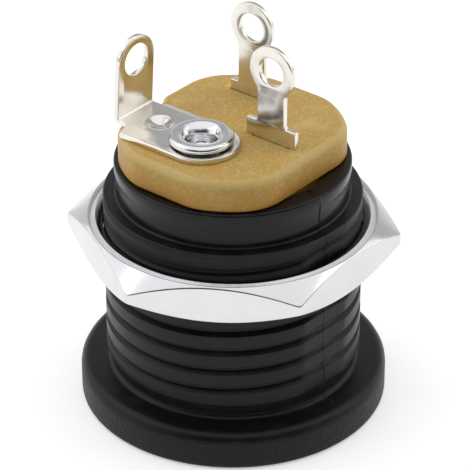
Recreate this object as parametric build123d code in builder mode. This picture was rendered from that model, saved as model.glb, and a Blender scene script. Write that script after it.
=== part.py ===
from build123d import *
import os
from math import cos, pi, radians, sin

# A panel-mounting socket for a round DC power plug, standing on its flange.
# Millimetres. The origin is the centre of the flange's front face, where the plug goes in.
# +Z runs along the socket's axis to the solder lugs, and X lies along the riveted strip.

# Housing: one black moulding, a flange and a threaded shank with a smooth neck
flange_overhang = 1.21
flange_thickness = 1.8
flange_rear_round = 0.45
flange_front_round = 0.25
relief_depth = 0.19
relief_length = 0.8
root_round = 0.25
thread_radius = 5.79
thread_length = 7.75
thread_end_bevel = 0.06
thread_pitch = 1.0
groove_depth = 0.24
groove_mouth = 0.42
groove_floor = 0.16
groove_first_height = 3.1
groove_count = 7
thread_flat_depth = 0.15
thread_flat_turn = -5.0
neck_step = 0.51
neck_length = 1.69
rim_round = 0.12

# Plug way: the guide bore in front and the wider contact chamber behind it
socket_radius = 2.95
socket_lead_in = 0.5
guide_length = 4.0
chamber_wall = 0.88

# Insulator: the cap on the rim and the spigot inside the chamber
spigot_clearance = 0.05
spigot_length = 1.6
cap_setback = 0.21
cap_flat_depth_x = 0.82
cap_flat_depth_y = 0.25
cap_corner_inset = 2.67
cap_height = 1.5
cap_edge_round = 0.4

# Hexagon nut
nut_wall = 0.725
nut_thickness = 1.8
nut_lift = 5.6
nut_turn = 31.9
nut_thread_clearance = 0.06
nut_countersink_width = 0.62
nut_countersink_depth = 0.12
nut_chamfer_inset = 0.075
nut_chamfer_drop = 0.7

# Sheet metal of the lugs
sheet = 0.26
slot_clearance = 0.05
head_radius = 1.18
lug_hole_radius = 0.66
neck_half_width = 0.74
neck_blend = 0.5

# Lug of the centre pin
pin_lug_x = 2.2
pin_lug_y = 0.03
pin_lug_shoulder_half = 1.36
pin_lug_shoulder_height = 0.82
pin_lug_hole_height = 3.35
pin_lug_tab_half = 0.95
foot_radius = 0.95
foot_width = 1.1
foot_hole_clearance = 0.04

# Lug of the sleeve spring
sleeve_lug_x = -1.11
sleeve_lug_inset = 1.59
sleeve_lug_shoulder_half = 1.18
sleeve_lug_shoulder_height = 0.5
sleeve_lug_hole_height = 3.39
sleeve_lug_slot_extra = 0.3
leaf_half_width = 0.85
leaf_root_length = 0.6
leaf_rest_drop = 1.44
leaf_rest_foot = 7.4
leaf_rest_bow = 0.5
leaf_contact_height = 5.6
leaf_contact_bow = 0.7
leaf_tip_height = 4.4
leaf_tip_bow = 0.2

# Strip and lug of the switched contact
strip_y = -2.32
strip_half_width = 1.68
strip_end_x = 0.17
strip_shoulder_x = -3.11
strip_notch_x = -3.4
switch_lug_x = -3.92
switch_lug_y = -2.0
switch_lug_half_width = 1.18
switch_lug_lean = 3.5
switch_lug_hole_height = 2.57
switch_lug_hole_radius = 0.74
switch_lug_crown_height = 2.53
dimple_x = -2.33
dimple_y = -2.16
dimple_radius = 0.62
dimple_floor_radius = 0.25
dimple_depth = 0.2
dimple_clearance = 0.05
bend_round = 0.15

# Rivet through the strip, the insulator and the break contact: its hollow end is rolled over the strip
rivet_x = 0.19
rivet_y = -2.36
rivet_shank_radius = 0.8
rivet_bore_radius = 0.62
rivet_bore_depth = 0.9
rivet_ring_radius = 1.44
rivet_ring_height = 0.42
rivet_ring_round = 0.2
rivet_flare_round = 0.34
rivet_foot_radius = 0.97
rivet_foot_height = 0.3
rivet_hole_clearance = 0.05

# Centre pin
pin_radius = 1.05
pin_recess = 1.5
pin_tip_round = 0.6
pin_collar_radius = 1.24
pin_collar_height = 0.58
pin_tail_radius = 0.6
pin_head_radius = 0.85
pin_head_height = 0.25
pin_pocket_clearance = 0.15

# Break contact: a plate under the spigot, an arm round the side and a finger on the leaf
break_plate_radius = 1.08
break_neck_width = 1.2
arm_outer_x = -3.3
arm_width = 0.95
finger_lap = 0.12
finger_sheet = 0.25
finger_tip_height = 7.6

# Heights and radii that follow from the sizes above
relief_top = flange_thickness + relief_length
thread_top = relief_top + thread_length
rim_height = thread_top + neck_length
cap_top = rim_height + cap_height
flange_radius = thread_radius + flange_overhang
relief_radius = thread_radius - relief_depth
groove_radius = thread_radius - groove_depth
thread_flat_distance = thread_radius - thread_flat_depth
neck_radius = thread_radius - neck_step
chamber_radius = neck_radius - chamber_wall
spigot_foot = rim_height - spigot_length
spigot_radius = chamber_radius - spigot_clearance
cap_radius = neck_radius - cap_setback
cap_corner_round = cap_radius - cap_corner_inset
cap_half_x = cap_radius - cap_flat_depth_x
cap_half_y = cap_radius - cap_flat_depth_y
plate_under_spigot = spigot_foot - sheet
leaf_rest_top = spigot_foot - leaf_rest_drop
nut_foot = flange_thickness + nut_lift
nut_top = nut_foot + nut_thickness
nut_bore_radius = thread_radius + nut_thread_clearance
nut_countersink_radius = nut_bore_radius + nut_countersink_width
nut_flat_distance = nut_bore_radius + nut_wall
nut_chamfer_radius = nut_flat_distance - nut_chamfer_inset
nut_corner_radius = nut_flat_distance / cos(pi / 6)
strip_top = cap_top + sheet
rivet_top = strip_top + rivet_ring_height
rivet_floor = rivet_top - rivet_bore_depth
sleeve_lug_y = spigot_radius - sleeve_lug_inset
leaf_x = sleeve_lug_x
leaf_rest_y = sleeve_lug_y - leaf_rest_bow
finger_y = leaf_rest_y - sheet / 2 - finger_sheet / 2
finger_end_x = leaf_x - leaf_half_width + finger_lap
foot_end_x = pin_lug_x + pin_lug_tab_half
lean_sin = sin(radians(switch_lug_lean))
lean_cos = cos(radians(switch_lug_lean))

os.makedirs("parts", exist_ok=True)


def upright_lug(shoulder_half, shoulder_height, hole_height):
    """Outline of an upright solder lug, standing on the local origin: shoulders, neck and ring head."""
    with BuildSketch() as outline:
        Rectangle(2 * shoulder_half, shoulder_height, align=(Align.CENTER, Align.MIN))
        Rectangle(2 * neck_half_width, hole_height, align=(Align.CENTER, Align.MIN))
        with Locations((0, hole_height)):
            Circle(head_radius)
        throat = outline.vertices().filter_by_position(
            Axis.Y, shoulder_height, hole_height, inclusive=(False, False)
        )
        fillet(throat, neck_blend)
        with Locations((0, hole_height)):
            Circle(lug_hole_radius, mode=Mode.SUBTRACT)
    return outline.sketch


pin_lug_outline = upright_lug(pin_lug_shoulder_half, pin_lug_shoulder_height, pin_lug_hole_height)
sleeve_lug_outline = upright_lug(
    sleeve_lug_shoulder_half, sleeve_lug_shoulder_height, sleeve_lug_hole_height
)

# Housing
with BuildPart() as housing:
    with BuildSketch(Plane.XZ):
        with BuildLine():
            Polyline(
                (0, 0),
                (flange_radius, 0),
                (flange_radius, flange_thickness),
                (relief_radius, flange_thickness),
                (relief_radius, relief_top),
                (thread_radius, relief_top),
                (thread_radius, thread_top - thread_end_bevel),
                (thread_radius - thread_end_bevel, thread_top),
                (neck_radius, thread_top),
                (neck_radius, rim_height),
                (0, rim_height),
                close=True,
            )
        make_face()
    revolve(axis=Axis.Z)
    flange_rims = housing.edges().filter_by(GeomType.CIRCLE).sort_by(SortBy.RADIUS)[-2:]
    fillet(flange_rims.sort_by(Axis.Z)[-1], flange_rear_round)
    fillet(housing.edges().filter_by(GeomType.CIRCLE).sort_by(Axis.Z)[0], flange_front_round)
    fillet(housing.edges().filter_by(GeomType.CIRCLE).sort_by(Axis.Z)[-1], rim_round)
    seat_edges = housing.edges().filter_by_position(Axis.Z, flange_thickness, flange_thickness)
    fillet(seat_edges.filter_by(GeomType.CIRCLE).sort_by(SortBy.RADIUS)[0], root_round)
    # Grooves between the thread's broad crests
    with BuildSketch(Plane.XZ):
        for turn in range(groove_count):
            groove_height = groove_first_height + turn * thread_pitch
            with BuildLine():
                Polyline(
                    (groove_radius, groove_height - groove_floor / 2),
                    (thread_radius, groove_height - groove_mouth / 2),
                    (flange_radius, groove_height - groove_mouth / 2),
                    (flange_radius, groove_height + groove_mouth / 2),
                    (thread_radius, groove_height + groove_mouth / 2),
                    (groove_radius, groove_height + groove_floor / 2),
                    close=True,
                )
            make_face()
    revolve(axis=Axis.Z, mode=Mode.SUBTRACT)
    # The two flats down the sides of the thread
    with BuildSketch(Plane.XY.offset(relief_top)):
        with PolarLocations(thread_flat_distance, 2, thread_flat_turn):
            Rectangle(flange_radius, 2 * flange_radius, align=(Align.MIN, Align.CENTER))
    extrude(amount=thread_length, mode=Mode.SUBTRACT)
    # The plug way with its lead-in, and the contact chamber behind it
    with BuildSketch(Plane.XZ):
        with BuildLine():
            Polyline(
                (0, 0),
                (socket_radius + socket_lead_in, 0),
                (socket_radius, socket_lead_in),
                (socket_radius, guide_length),
                (chamber_radius, guide_length),
                (chamber_radius, rim_height),
                (0, rim_height),
                close=True,
            )
        make_face()
    revolve(axis=Axis.Z, mode=Mode.SUBTRACT)

# Insulator: a cap that sits on the rim, with a spigot that fills the chamber's mouth
with BuildPart() as insulator:
    with BuildSketch(Plane.XY.offset(rim_height)) as cap_outline:
        Circle(cap_radius)
        Rectangle(2 * cap_half_x, 2 * cap_half_y, mode=Mode.INTERSECT)
        fillet(cap_outline.vertices(), cap_corner_round)
    extrude(amount=cap_height)
    fillet(insulator.faces().sort_by(Axis.Z)[-1].edges(), cap_edge_round)
    with BuildSketch(Plane.XY.offset(rim_height)):
        Circle(spigot_radius)
    extrude(amount=-spigot_length)
    # Slots for the two upright lugs and the hole for the rivet
    with BuildSketch(Plane.XY.offset(spigot_foot)):
        with Locations((pin_lug_x, pin_lug_y)):
            Rectangle(2 * (pin_lug_tab_half + slot_clearance), sheet + 2 * slot_clearance)
        with Locations((sleeve_lug_x - sleeve_lug_slot_extra / 2, sleeve_lug_y)):
            Rectangle(
                2 * (sleeve_lug_shoulder_half + slot_clearance) + sleeve_lug_slot_extra,
                sheet + 2 * slot_clearance,
            )
        with Locations((rivet_x, rivet_y)):
            Circle(rivet_shank_radius + rivet_hole_clearance)
    extrude(amount=spigot_length + cap_height, mode=Mode.SUBTRACT)
    # Pockets for the pin's riveted head and for the strip's dimple
    with BuildSketch(Plane.XY.offset(spigot_foot)):
        Circle(pin_head_radius + pin_pocket_clearance)
    extrude(amount=pin_head_height + pin_pocket_clearance, mode=Mode.SUBTRACT)
    with BuildSketch(Plane.XY.offset(cap_top)):
        with Locations((dimple_x, dimple_y)):
            Circle(dimple_radius + dimple_clearance)
    extrude(amount=-dimple_depth - dimple_clearance, mode=Mode.SUBTRACT)

# Hexagon nut: chamfered towards both faces, with a countersunk thread
with BuildPart() as hex_nut:
    with BuildSketch(Plane.XY.offset(nut_foot)):
        RegularPolygon(nut_corner_radius, 6, rotation=nut_turn)
    extrude(amount=nut_thickness)
    with BuildSketch(Plane.XZ):
        with BuildLine():
            Polyline(
                (nut_bore_radius, nut_foot),
                (nut_chamfer_radius, nut_foot),
                (nut_corner_radius, nut_foot + nut_chamfer_drop),
                (nut_corner_radius, nut_top - nut_chamfer_drop),
                (nut_chamfer_radius, nut_top),
                (nut_countersink_radius, nut_top),
                (nut_bore_radius, nut_top - nut_countersink_depth),
                close=True,
            )
        make_face()
    revolve(axis=Axis.Z, mode=Mode.INTERSECT)

# Centre pin: a round-nosed shaft with a collar, and a tail riveted over its lug's foot
with BuildPart() as centre_pin:
    with BuildSketch(Plane.XY.offset(pin_recess)):
        Circle(pin_radius)
    extrude(amount=plate_under_spigot - pin_recess)
    fillet(centre_pin.faces().sort_by(Axis.Z)[0].edges(), pin_tip_round)
    with BuildSketch(Plane.XY.offset(plate_under_spigot)):
        Circle(pin_collar_radius)
    extrude(amount=-pin_collar_height)
    with BuildSketch(Plane.XY.offset(plate_under_spigot)):
        Circle(pin_tail_radius)
    extrude(amount=sheet)
    with BuildSketch(Plane.XY.offset(spigot_foot)):
        Circle(pin_head_radius)
    extrude(amount=pin_head_height)

# Lug of the centre pin: an upright blade, folded under the spigot into a foot that holds the pin
with BuildPart() as pin_terminal:
    with BuildSketch(Plane.XZ.offset(sheet / 2 - pin_lug_y)):
        with Locations((pin_lug_x, cap_top)):
            add(pin_lug_outline)
        with Locations((pin_lug_x, plate_under_spigot)):
            Rectangle(
                2 * pin_lug_tab_half, cap_top - plate_under_spigot, align=(Align.CENTER, Align.MIN)
            )
    extrude(amount=-sheet)
    with BuildSketch(Plane.XY.offset(plate_under_spigot)):
        Circle(foot_radius)
        with Locations((0, pin_lug_y + sheet / 2)):
            Rectangle(foot_end_x, foot_width, align=(Align.MIN, Align.MAX))
        Circle(pin_tail_radius + foot_hole_clearance, mode=Mode.SUBTRACT)
    extrude(amount=sheet)

# Sleeve contact: an upright lug that runs down as a bowed leaf beside the plug's barrel
with BuildPart() as sleeve_terminal:
    with BuildSketch(Plane.XZ.offset(sheet / 2 - sleeve_lug_y)):
        with Locations((sleeve_lug_x, cap_top)):
            add(sleeve_lug_outline)
        with Locations((sleeve_lug_x, spigot_foot)):
            Rectangle(
                2 * sleeve_lug_shoulder_half, cap_top - spigot_foot, align=(Align.CENTER, Align.MIN)
            )
    extrude(amount=-sheet)
    leaf_line = [
        (sleeve_lug_y, spigot_foot),
        (sleeve_lug_y, spigot_foot - leaf_root_length),
        (leaf_rest_y, leaf_rest_top),
        (leaf_rest_y, leaf_rest_foot),
        (sleeve_lug_y - leaf_contact_bow, leaf_contact_height),
        (sleeve_lug_y - leaf_tip_bow, leaf_tip_height),
    ]
    with BuildSketch(Plane.YZ.offset(leaf_x - leaf_half_width)):
        with BuildLine():
            Polyline(
                *[(y - sheet / 2, z) for y, z in leaf_line],
                *[(y + sheet / 2, z) for y, z in reversed(leaf_line)],
                close=True,
            )
        make_face()
    extrude(amount=2 * leaf_half_width)

# Switched contact outside: a riveted strip with a dimple, bent up into a lug that leans inwards
with BuildPart() as switch_terminal:
    with BuildSketch(Plane.XY.offset(cap_top)):
        with BuildLine():
            Polyline(
                (strip_notch_x, switch_lug_y - switch_lug_half_width),
                (strip_shoulder_x, strip_y - strip_half_width),
                (strip_end_x, strip_y - strip_half_width),
                (strip_end_x, strip_y + strip_half_width),
                (strip_shoulder_x, strip_y + strip_half_width),
                (strip_notch_x, switch_lug_y + switch_lug_half_width),
                close=True,
            )
        make_face()
        with Locations((strip_end_x, strip_y)):
            Circle(strip_half_width)
        with Locations((rivet_x, rivet_y)):
            Circle(rivet_shank_radius + rivet_hole_clearance, mode=Mode.SUBTRACT)
    extrude(amount=sheet)
    lug_reach = switch_lug_crown_height + switch_lug_half_width
    with BuildSketch(Plane.XZ.offset(-switch_lug_y)) as bend_section:
        with BuildLine():
            Polyline(
                (strip_shoulder_x, cap_top),
                (switch_lug_x - sheet * (1 + lean_sin) / lean_cos, cap_top),
                (
                    switch_lug_x - sheet * lean_cos + lug_reach * lean_sin,
                    strip_top + sheet * lean_sin + lug_reach * lean_cos,
                ),
                (switch_lug_x + lug_reach * lean_sin, strip_top + lug_reach * lean_cos),
                (switch_lug_x, strip_top),
                (strip_shoulder_x, strip_top),
                close=True,
            )
        make_face()
        inner_corner = bend_section.vertices().sort_by_distance((switch_lug_x, switch_lug_y, strip_top))[0]
        fillet(inner_corner, bend_round)
        fillet(bend_section.vertices().group_by(Axis.Z)[0].sort_by(Axis.X)[0], bend_round + sheet)
    extrude(amount=switch_lug_half_width, both=True)
    lug_face = Plane(
        origin=(switch_lug_x, switch_lug_y, strip_top),
        x_dir=(0, -1, 0),
        z_dir=(-lean_cos, 0, lean_sin),
    )
    with BuildSketch(lug_face):
        with Locations((0, switch_lug_crown_height)):
            Rectangle(
                2 * (switch_lug_half_width + sheet),
                2 * switch_lug_half_width,
                align=(Align.CENTER, Align.MIN),
            )
            Circle(switch_lug_half_width, mode=Mode.SUBTRACT)
        with Locations((0, switch_lug_hole_height)):
            Circle(switch_lug_hole_radius)
    extrude(amount=2 * sheet, both=True, mode=Mode.SUBTRACT)
    with BuildSketch(Plane.XZ.offset(-dimple_y)):
        with BuildLine():
            Polyline(
                (dimple_x, cap_top - dimple_depth),
                (dimple_x + dimple_floor_radius, cap_top - dimple_depth),
                (dimple_x + dimple_radius, cap_top),
                (dimple_x, cap_top),
                close=True,
            )
        make_face()
    revolve(axis=Axis((dimple_x, dimple_y, 0), (0, 0, 1)))
    with BuildSketch(Plane.XZ.offset(-dimple_y)):
        with BuildLine():
            Polyline(
                (dimple_x, strip_top - dimple_depth),
                (dimple_x + dimple_floor_radius, strip_top - dimple_depth),
                (dimple_x + dimple_radius, strip_top),
                (dimple_x, strip_top),
                close=True,
            )
        make_face()
    revolve(axis=Axis((dimple_x, dimple_y, 0), (0, 0, 1)), mode=Mode.SUBTRACT)

# Break contact inside: a riveted plate, an arm round the side and a finger that meets the leaf
with BuildPart() as break_contact:
    with BuildSketch(Plane.XY.offset(plate_under_spigot)):
        with Locations((rivet_x, rivet_y)):
            Circle(break_plate_radius)
        with Locations((rivet_x, rivet_y + break_neck_width / 2)):
            Rectangle(rivet_x - arm_outer_x, break_neck_width, align=(Align.MAX, Align.MAX))
        with Locations((arm_outer_x, finger_y + finger_sheet / 2)):
            Rectangle(
                arm_width, finger_y + finger_sheet / 2 - rivet_y, align=(Align.MIN, Align.MAX)
            )
        with Locations((rivet_x, rivet_y)):
            Circle(rivet_shank_radius + rivet_hole_clearance, mode=Mode.SUBTRACT)
    extrude(amount=sheet)
    with BuildSketch(Plane.XZ.offset(-finger_y - finger_sheet / 2)):
        with Locations((arm_outer_x, spigot_foot)):
            Rectangle(
                finger_end_x - arm_outer_x, spigot_foot - finger_tip_height, align=(Align.MIN, Align.MAX)
            )
    extrude(amount=finger_sheet)

# Rivet: a headed shank under the break contact, with its hollow end rolled over the strip
with BuildPart() as terminal_rivet:
    rivet_axis = Axis((rivet_x, rivet_y, 0), (0, 0, 1))
    with BuildSketch(Plane.XZ.offset(-rivet_y)) as rivet_section:
        with BuildLine():
            Polyline(
                (rivet_x, plate_under_spigot - rivet_foot_height),
                (rivet_x + rivet_foot_radius, plate_under_spigot - rivet_foot_height),
                (rivet_x + rivet_foot_radius, plate_under_spigot),
                (rivet_x + rivet_shank_radius, plate_under_spigot),
                (rivet_x + rivet_shank_radius, strip_top),
                (rivet_x + rivet_ring_radius, strip_top),
                (rivet_x + rivet_ring_radius, rivet_top),
                (rivet_x + rivet_bore_radius, rivet_top),
                (rivet_x + rivet_bore_radius, rivet_floor),
                (rivet_x, rivet_floor),
                close=True,
            )
        make_face()
        fillet(rivet_section.vertices().sort_by(Axis.X)[-2:], rivet_ring_round)
        bore_corners = rivet_section.vertices().filter_by_position(
            Axis.X, rivet_x + rivet_bore_radius, rivet_x + rivet_bore_radius
        )
        fillet(bore_corners.sort_by(Axis.Y)[-1], rivet_flare_round)
    revolve(axis=rivet_axis)

pieces = {
    "housing": housing,
    "insulator": insulator,
    "hex_nut": hex_nut,
    "centre_pin": centre_pin,
    "pin_terminal": pin_terminal,
    "sleeve_terminal": sleeve_terminal,
    "switch_terminal": switch_terminal,
    "break_contact": break_contact,
    "terminal_rivet": terminal_rivet,
}
for name, piece in pieces.items():
    piece.part.label = name
    export_step(piece.part, f"parts/{name}.step")
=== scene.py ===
"""A panel-mounting power socket with a nut, a laminate cap and three solder lugs, dressed for the studio."""

import logging
import math
from collections.abc import Callable, Sequence
from dataclasses import dataclass, field
from enum import Enum

import bmesh
import bpy
from mathutils import Matrix, Vector
from mathutils.geometry import tessellate_polygon


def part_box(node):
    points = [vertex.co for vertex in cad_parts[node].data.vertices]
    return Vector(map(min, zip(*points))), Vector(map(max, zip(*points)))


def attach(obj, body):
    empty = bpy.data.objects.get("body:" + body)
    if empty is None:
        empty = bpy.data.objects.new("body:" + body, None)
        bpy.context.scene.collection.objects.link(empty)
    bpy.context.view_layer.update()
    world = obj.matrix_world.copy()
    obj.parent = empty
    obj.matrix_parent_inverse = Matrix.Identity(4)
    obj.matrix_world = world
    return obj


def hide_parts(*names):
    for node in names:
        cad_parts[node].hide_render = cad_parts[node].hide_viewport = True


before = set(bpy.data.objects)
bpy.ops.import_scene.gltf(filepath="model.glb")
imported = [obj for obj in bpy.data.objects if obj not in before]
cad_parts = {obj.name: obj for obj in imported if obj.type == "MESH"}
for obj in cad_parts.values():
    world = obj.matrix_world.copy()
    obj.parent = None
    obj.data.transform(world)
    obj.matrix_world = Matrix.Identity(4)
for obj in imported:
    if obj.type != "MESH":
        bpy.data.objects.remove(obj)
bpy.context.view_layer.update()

LOG = logging.getLogger("socket")
MM = 0.001
WELD = 2e-6
# Least cosines that a distance is divided by, at a thread's flat and at a loop's corner
LEAST_FACING = 0.1
LEAST_LEAN = 0.5
# Turns in degrees above which an edge stays crisp, on moulded and on formed pieces
MOULDED_SHARP = 32.0
FORMED_SHARP = 50.0

Point2 = tuple[float, float]
Point3 = tuple[float, float, float]
Colour = tuple[float, float, float, float]
Loop = list[Point2]
Row = list[bmesh.types.BMVert]


class Body(Enum):
    """The bodies of the frame that a piece can ride on."""

    SOCKET = "socket"
    NUT = "nut"


class Slot(Enum):
    """The record's material slots."""

    BLACK_MOULDING = "black_moulding"
    TAN_LAMINATE = "tan_laminate"
    NUT_PLATING = "nut_plating"
    PIN_PLATING = "pin_plating"
    LUG_PLATING = "lug_plating"
    RIVET_PLATING = "rivet_plating"


def side(node: str, axis: int, high: bool = True) -> float:
    """One side of a node's box at rest.

    Args:
        node: The node.
        axis: 0, 1 or 2 for X, Y or Z.
        high: Whether it is the higher side.

    Returns:
        Its place in millimetres.
    """
    return round(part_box(node)[int(high)][axis] / MM, 3)


@dataclass(frozen=True)
class Plan:
    """Sizes that several pieces share, in millimetres. The levels come from the frame."""

    rim: float = side("housing", 2)
    cap_top: float = side("insulator", 2)
    spigot_foot: float = side("insulator", 2, False)
    sheet: float = 0.26
    pin_lug: Point2 = (2.2, 0.03)
    sleeve_lug: Point2 = (-1.11, 2.76)
    rivet: Point2 = (0.19, -2.36)
    rivet_hole_radius: float = 0.85
    dimple: Point2 = (-2.33, -2.16)

    @property
    def plate(self) -> float:
        """The underside of the plates that lie below the spigot."""
        return self.spigot_foot - self.sheet


PLAN = Plan()


# Plane figures


def arc(centre: Point2, radius: float, start: float, end: float, steps: int) -> Loop:
    """Points along an arc.

    Args:
        centre: Centre of the arc.
        radius: Its radius.
        start: First angle in degrees.
        end: Last angle in degrees.
        steps: Number of chords.

    Returns:
        The points, both ends included.
    """
    turns = [math.radians(start + (end - start) * i / steps) for i in range(steps + 1)]
    return [(centre[0] + radius * math.cos(t), centre[1] + radius * math.sin(t)) for t in turns]


def rounded(points: Sequence[Point2], radii: Sequence[float], closed: bool, steps: int = 6) -> Loop:
    """Rounds the corners of a polyline with tangent arcs.

    Args:
        points: The corners.
        radii: One radius for each corner, zero for a sharp one.
        closed: Whether the line closes on itself.
        steps: Chords for each arc.

    Returns:
        The rounded line's points.
    """
    line: Loop = []
    count = len(points)
    for i, (corner, radius) in enumerate(zip(points, radii)):
        if radius == 0 or (not closed and i in (0, count - 1)):
            line.append(corner)
            continue
        here = Vector(corner)
        back = (Vector(points[i - 1]) - here).normalized()
        ahead = (Vector(points[(i + 1) % count]) - here).normalized()
        half = back.angle(ahead) / 2
        reach = radius / math.tan(half)
        middle = here + (back + ahead).normalized() * radius / math.sin(half)
        first = here + back * reach - middle
        last = here + ahead * reach - middle
        sweep = first.angle_signed(last)
        for step in range(steps + 1):
            turned = Matrix.Rotation(-sweep * step / steps, 2) @ first
            line.append(tuple(middle + turned))
    return line


def softened(corners: Sequence[Point3], steps: int) -> Loop:
    """Rounds the corners of an open line.

    Args:
        corners: Each corner's place and its radius, zero for a sharp one.
        steps: Chords for each arc.

    Returns:
        The rounded line's points.
    """
    return rounded([corner[:2] for corner in corners], [corner[2] for corner in corners], False, steps)


def rectangle(low: Point2, high: Point2, radius: float, steps: int = 4) -> Loop:
    """A rectangle with rounded corners, anticlockwise.

    Args:
        low: Lowest corner.
        high: Highest corner.
        radius: Radius of its corners.
        steps: Chords for each corner.

    Returns:
        Its outline.
    """
    corners = [low, (high[0], low[1]), high, (low[0], high[1])]
    return rounded(corners, [radius] * len(corners), True, steps)


def circle(centre: Point2, radius: float, steps: int) -> Loop:
    """A circle's points, anticlockwise, without a double at the seam."""
    return arc(centre, radius, 0, 360, steps)[:-1]


def inset(loop: Loop, distance: float) -> Loop:
    """Moves a closed loop's points square to it, to its left.

    Args:
        loop: The loop; its left side is the material.
        distance: How far the points move into the material.

    Returns:
        The moved loop.
    """
    moved: Loop = []
    for i, here in enumerate(loop):
        before, after = Vector(loop[i - 1]), Vector(loop[(i + 1) % len(loop)])
        way_in = (Vector(here) - before).normalized()
        way_out = (after - Vector(here)).normalized()
        square = Vector((-way_in.y, way_in.x)) + Vector((-way_out.y, way_out.x))
        square.normalize()
        lean = max(square.dot(Vector((-way_in.y, way_in.x))), LEAST_LEAN)
        moved.append(tuple(Vector(here) + square * distance / lean))
    return moved


# Solids


class Solid:
    """A mesh under construction, in millimetres."""

    def __init__(self) -> None:
        """Starts with nothing in it."""
        self.mesh = bmesh.new()

    def ring(self, points: Sequence[Sequence[float]]) -> Row:
        """Adds a row of vertices at the given points."""
        return [self.mesh.verts.new(p) for p in points]

    def level(self, loop: Loop, height: float) -> Row:
        """Adds a row of vertices along a flat loop at a height."""
        return self.ring([(x, y, height) for x, y in loop])

    def bridge(self, first: Row, second: Row) -> None:
        """Joins two closed rows of as many vertices with quads.

        Args:
            first: One row.
            second: The other.
        """
        count = len(first)
        for i in range(count):
            j = (i + 1) % count
            self.mesh.faces.new((first[i], first[j], second[j], second[i]))

    def skin(self, rows: Sequence[Row]) -> None:
        """Bridges each row to the next."""
        for first, second in zip(rows, rows[1:]):
            self.bridge(first, second)

    def cap(self, rings: Sequence[Row]) -> None:
        """Fills a plane face.

        Args:
            rings: The row that bounds it, then the rows that it leaves open.
        """
        flat = [v for row in rings for v in row]
        for triangle in tessellate_polygon([[v.co for v in row] for row in rings]):
            self.mesh.faces.new([flat[i] for i in triangle])

    def lathe(self, profile: Loop, segments: int, centre: Point2 = (0, 0)) -> None:
        """Turns a line of radius and height round an upright axis.

        Args:
            profile: The line; a point on the axis becomes a pole.
            segments: Facets round the axis.
            centre: Where the axis stands.
        """
        rows = []
        for radius, height in profile:
            if radius == 0:
                rows.append(self.ring([(*centre, height)]))
            else:
                rows.append(self.level(circle(centre, radius, segments), height))
        for first, second in zip(rows, rows[1:]):
            if len(first) == len(second):
                self.bridge(first, second)
            elif len(first) == 1:
                self.fan(first[0], second)
            else:
                self.fan(second[0], first)

    def fan(self, pole: bmesh.types.BMVert, row: Row) -> None:
        """Joins a row to a single vertex on the axis.

        Args:
            pole: The vertex on the axis.
            row: The row.
        """
        for i, vertex in enumerate(row):
            self.mesh.faces.new((pole, vertex, row[(i + 1) % len(row)]))

    def plate(
        self,
        outline: Loop,
        holes: Sequence[Loop],
        edge: float,
        open_holes: Sequence[Loop] = (),
        steps: int = 3,
    ) -> None:
        """Makes a sheet-metal blank in the XY plane, half its thickness each side, with rolled-over edges.

        Args:
            outline: The outer loop, anticlockwise.
            holes: Loops of the holes, anticlockwise.
            edge: Radius that the edges are broken to.
            open_holes: Holes left without a wall, for a formed dimple to fill.
            steps: Chords across an edge.
        """
        half = PLAN.sheet / 2
        tops, bottoms = [], []
        for loop in [outline, *[hole[::-1] for hole in holes]]:
            upper, lower = [], []
            for step in range(steps + 1):
                turn = math.pi / 2 * step / steps
                line = inset(loop, edge * (1 - math.cos(turn)))
                height = half - edge + edge * math.sin(turn)
                upper.append(self.level(line, height))
                lower.append(self.level(line, -height))
            self.skin(lower[::-1] + upper)
            tops.append(upper[-1])
            bottoms.append(lower[-1])
        for loop in open_holes:
            tops.append(self.level(loop[::-1], half))
            bottoms.append(self.level(loop[::-1], -half))
        self.cap(tops)
        self.cap(bottoms)

    def slice(self, axis: int, places: Sequence[float]) -> None:
        """Adds edge rows square to an axis, so that the sheet can bend there.

        Args:
            axis: 0, 1 or 2 for X, Y or Z.
            places: Where the rows go.
        """
        normal = Vector((0, 0, 0))
        normal[axis] = 1
        for place in places:
            everything = self.mesh.verts[:] + self.mesh.edges[:] + self.mesh.faces[:]
            bmesh.ops.bisect_plane(self.mesh, geom=everything, plane_co=normal * place, plane_no=normal)

    def bend(self, rule: Callable[[Vector], Vector]) -> None:
        """Moves every vertex by a rule."""
        for vertex in self.mesh.verts:
            vertex.co = rule(vertex.co.copy())

    def add_mesh(self, mesh: bpy.types.Mesh) -> None:
        """Adds a finished mesh in millimetres."""
        self.mesh.from_mesh(mesh)

    def piece(
        self, name: str, material: bpy.types.Material, sharp: float = MOULDED_SHARP
    ) -> bpy.types.Object:
        """Welds the solid, turns its faces outwards and makes the object.

        Args:
            name: The piece's name.
            material: Its material.
            sharp: Edges that turn by more than this many degrees stay crisp.

        Returns:
            The object, at the origin, in metres.
        """
        bmesh.ops.remove_doubles(self.mesh, verts=self.mesh.verts, dist=WELD / MM)
        bmesh.ops.recalc_face_normals(self.mesh, faces=self.mesh.faces)
        bmesh.ops.transform(self.mesh, matrix=Matrix.Scale(MM, 4), verts=self.mesh.verts)
        mesh = bpy.data.meshes.new(name)
        self.mesh.to_mesh(mesh)
        self.mesh.free()
        mesh.materials.append(material)
        for polygon in mesh.polygons:
            polygon.use_smooth = True
            polygon.material_index = 0
        mesh.set_sharp_from_angle(angle=math.radians(sharp))
        made = bpy.data.objects.new(name, mesh)
        bpy.context.scene.collection.objects.link(made)
        return made


def settle(piece: bpy.types.Object, body: Body, slot: Slot, *nodes: str) -> bpy.types.Object:
    """Hands a finished piece to the frame.

    Args:
        piece: The object.
        body: The body that it rides on.
        slot: A material slot; not used.
        nodes: CAD nodes that it stands for.

    Returns:
        The same object.
    """
    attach(piece, body.value)
    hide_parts(*nodes)
    LOG.info("%s: %d faces on %s", piece.name, len(piece.data.polygons), body.value)
    return piece


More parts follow.
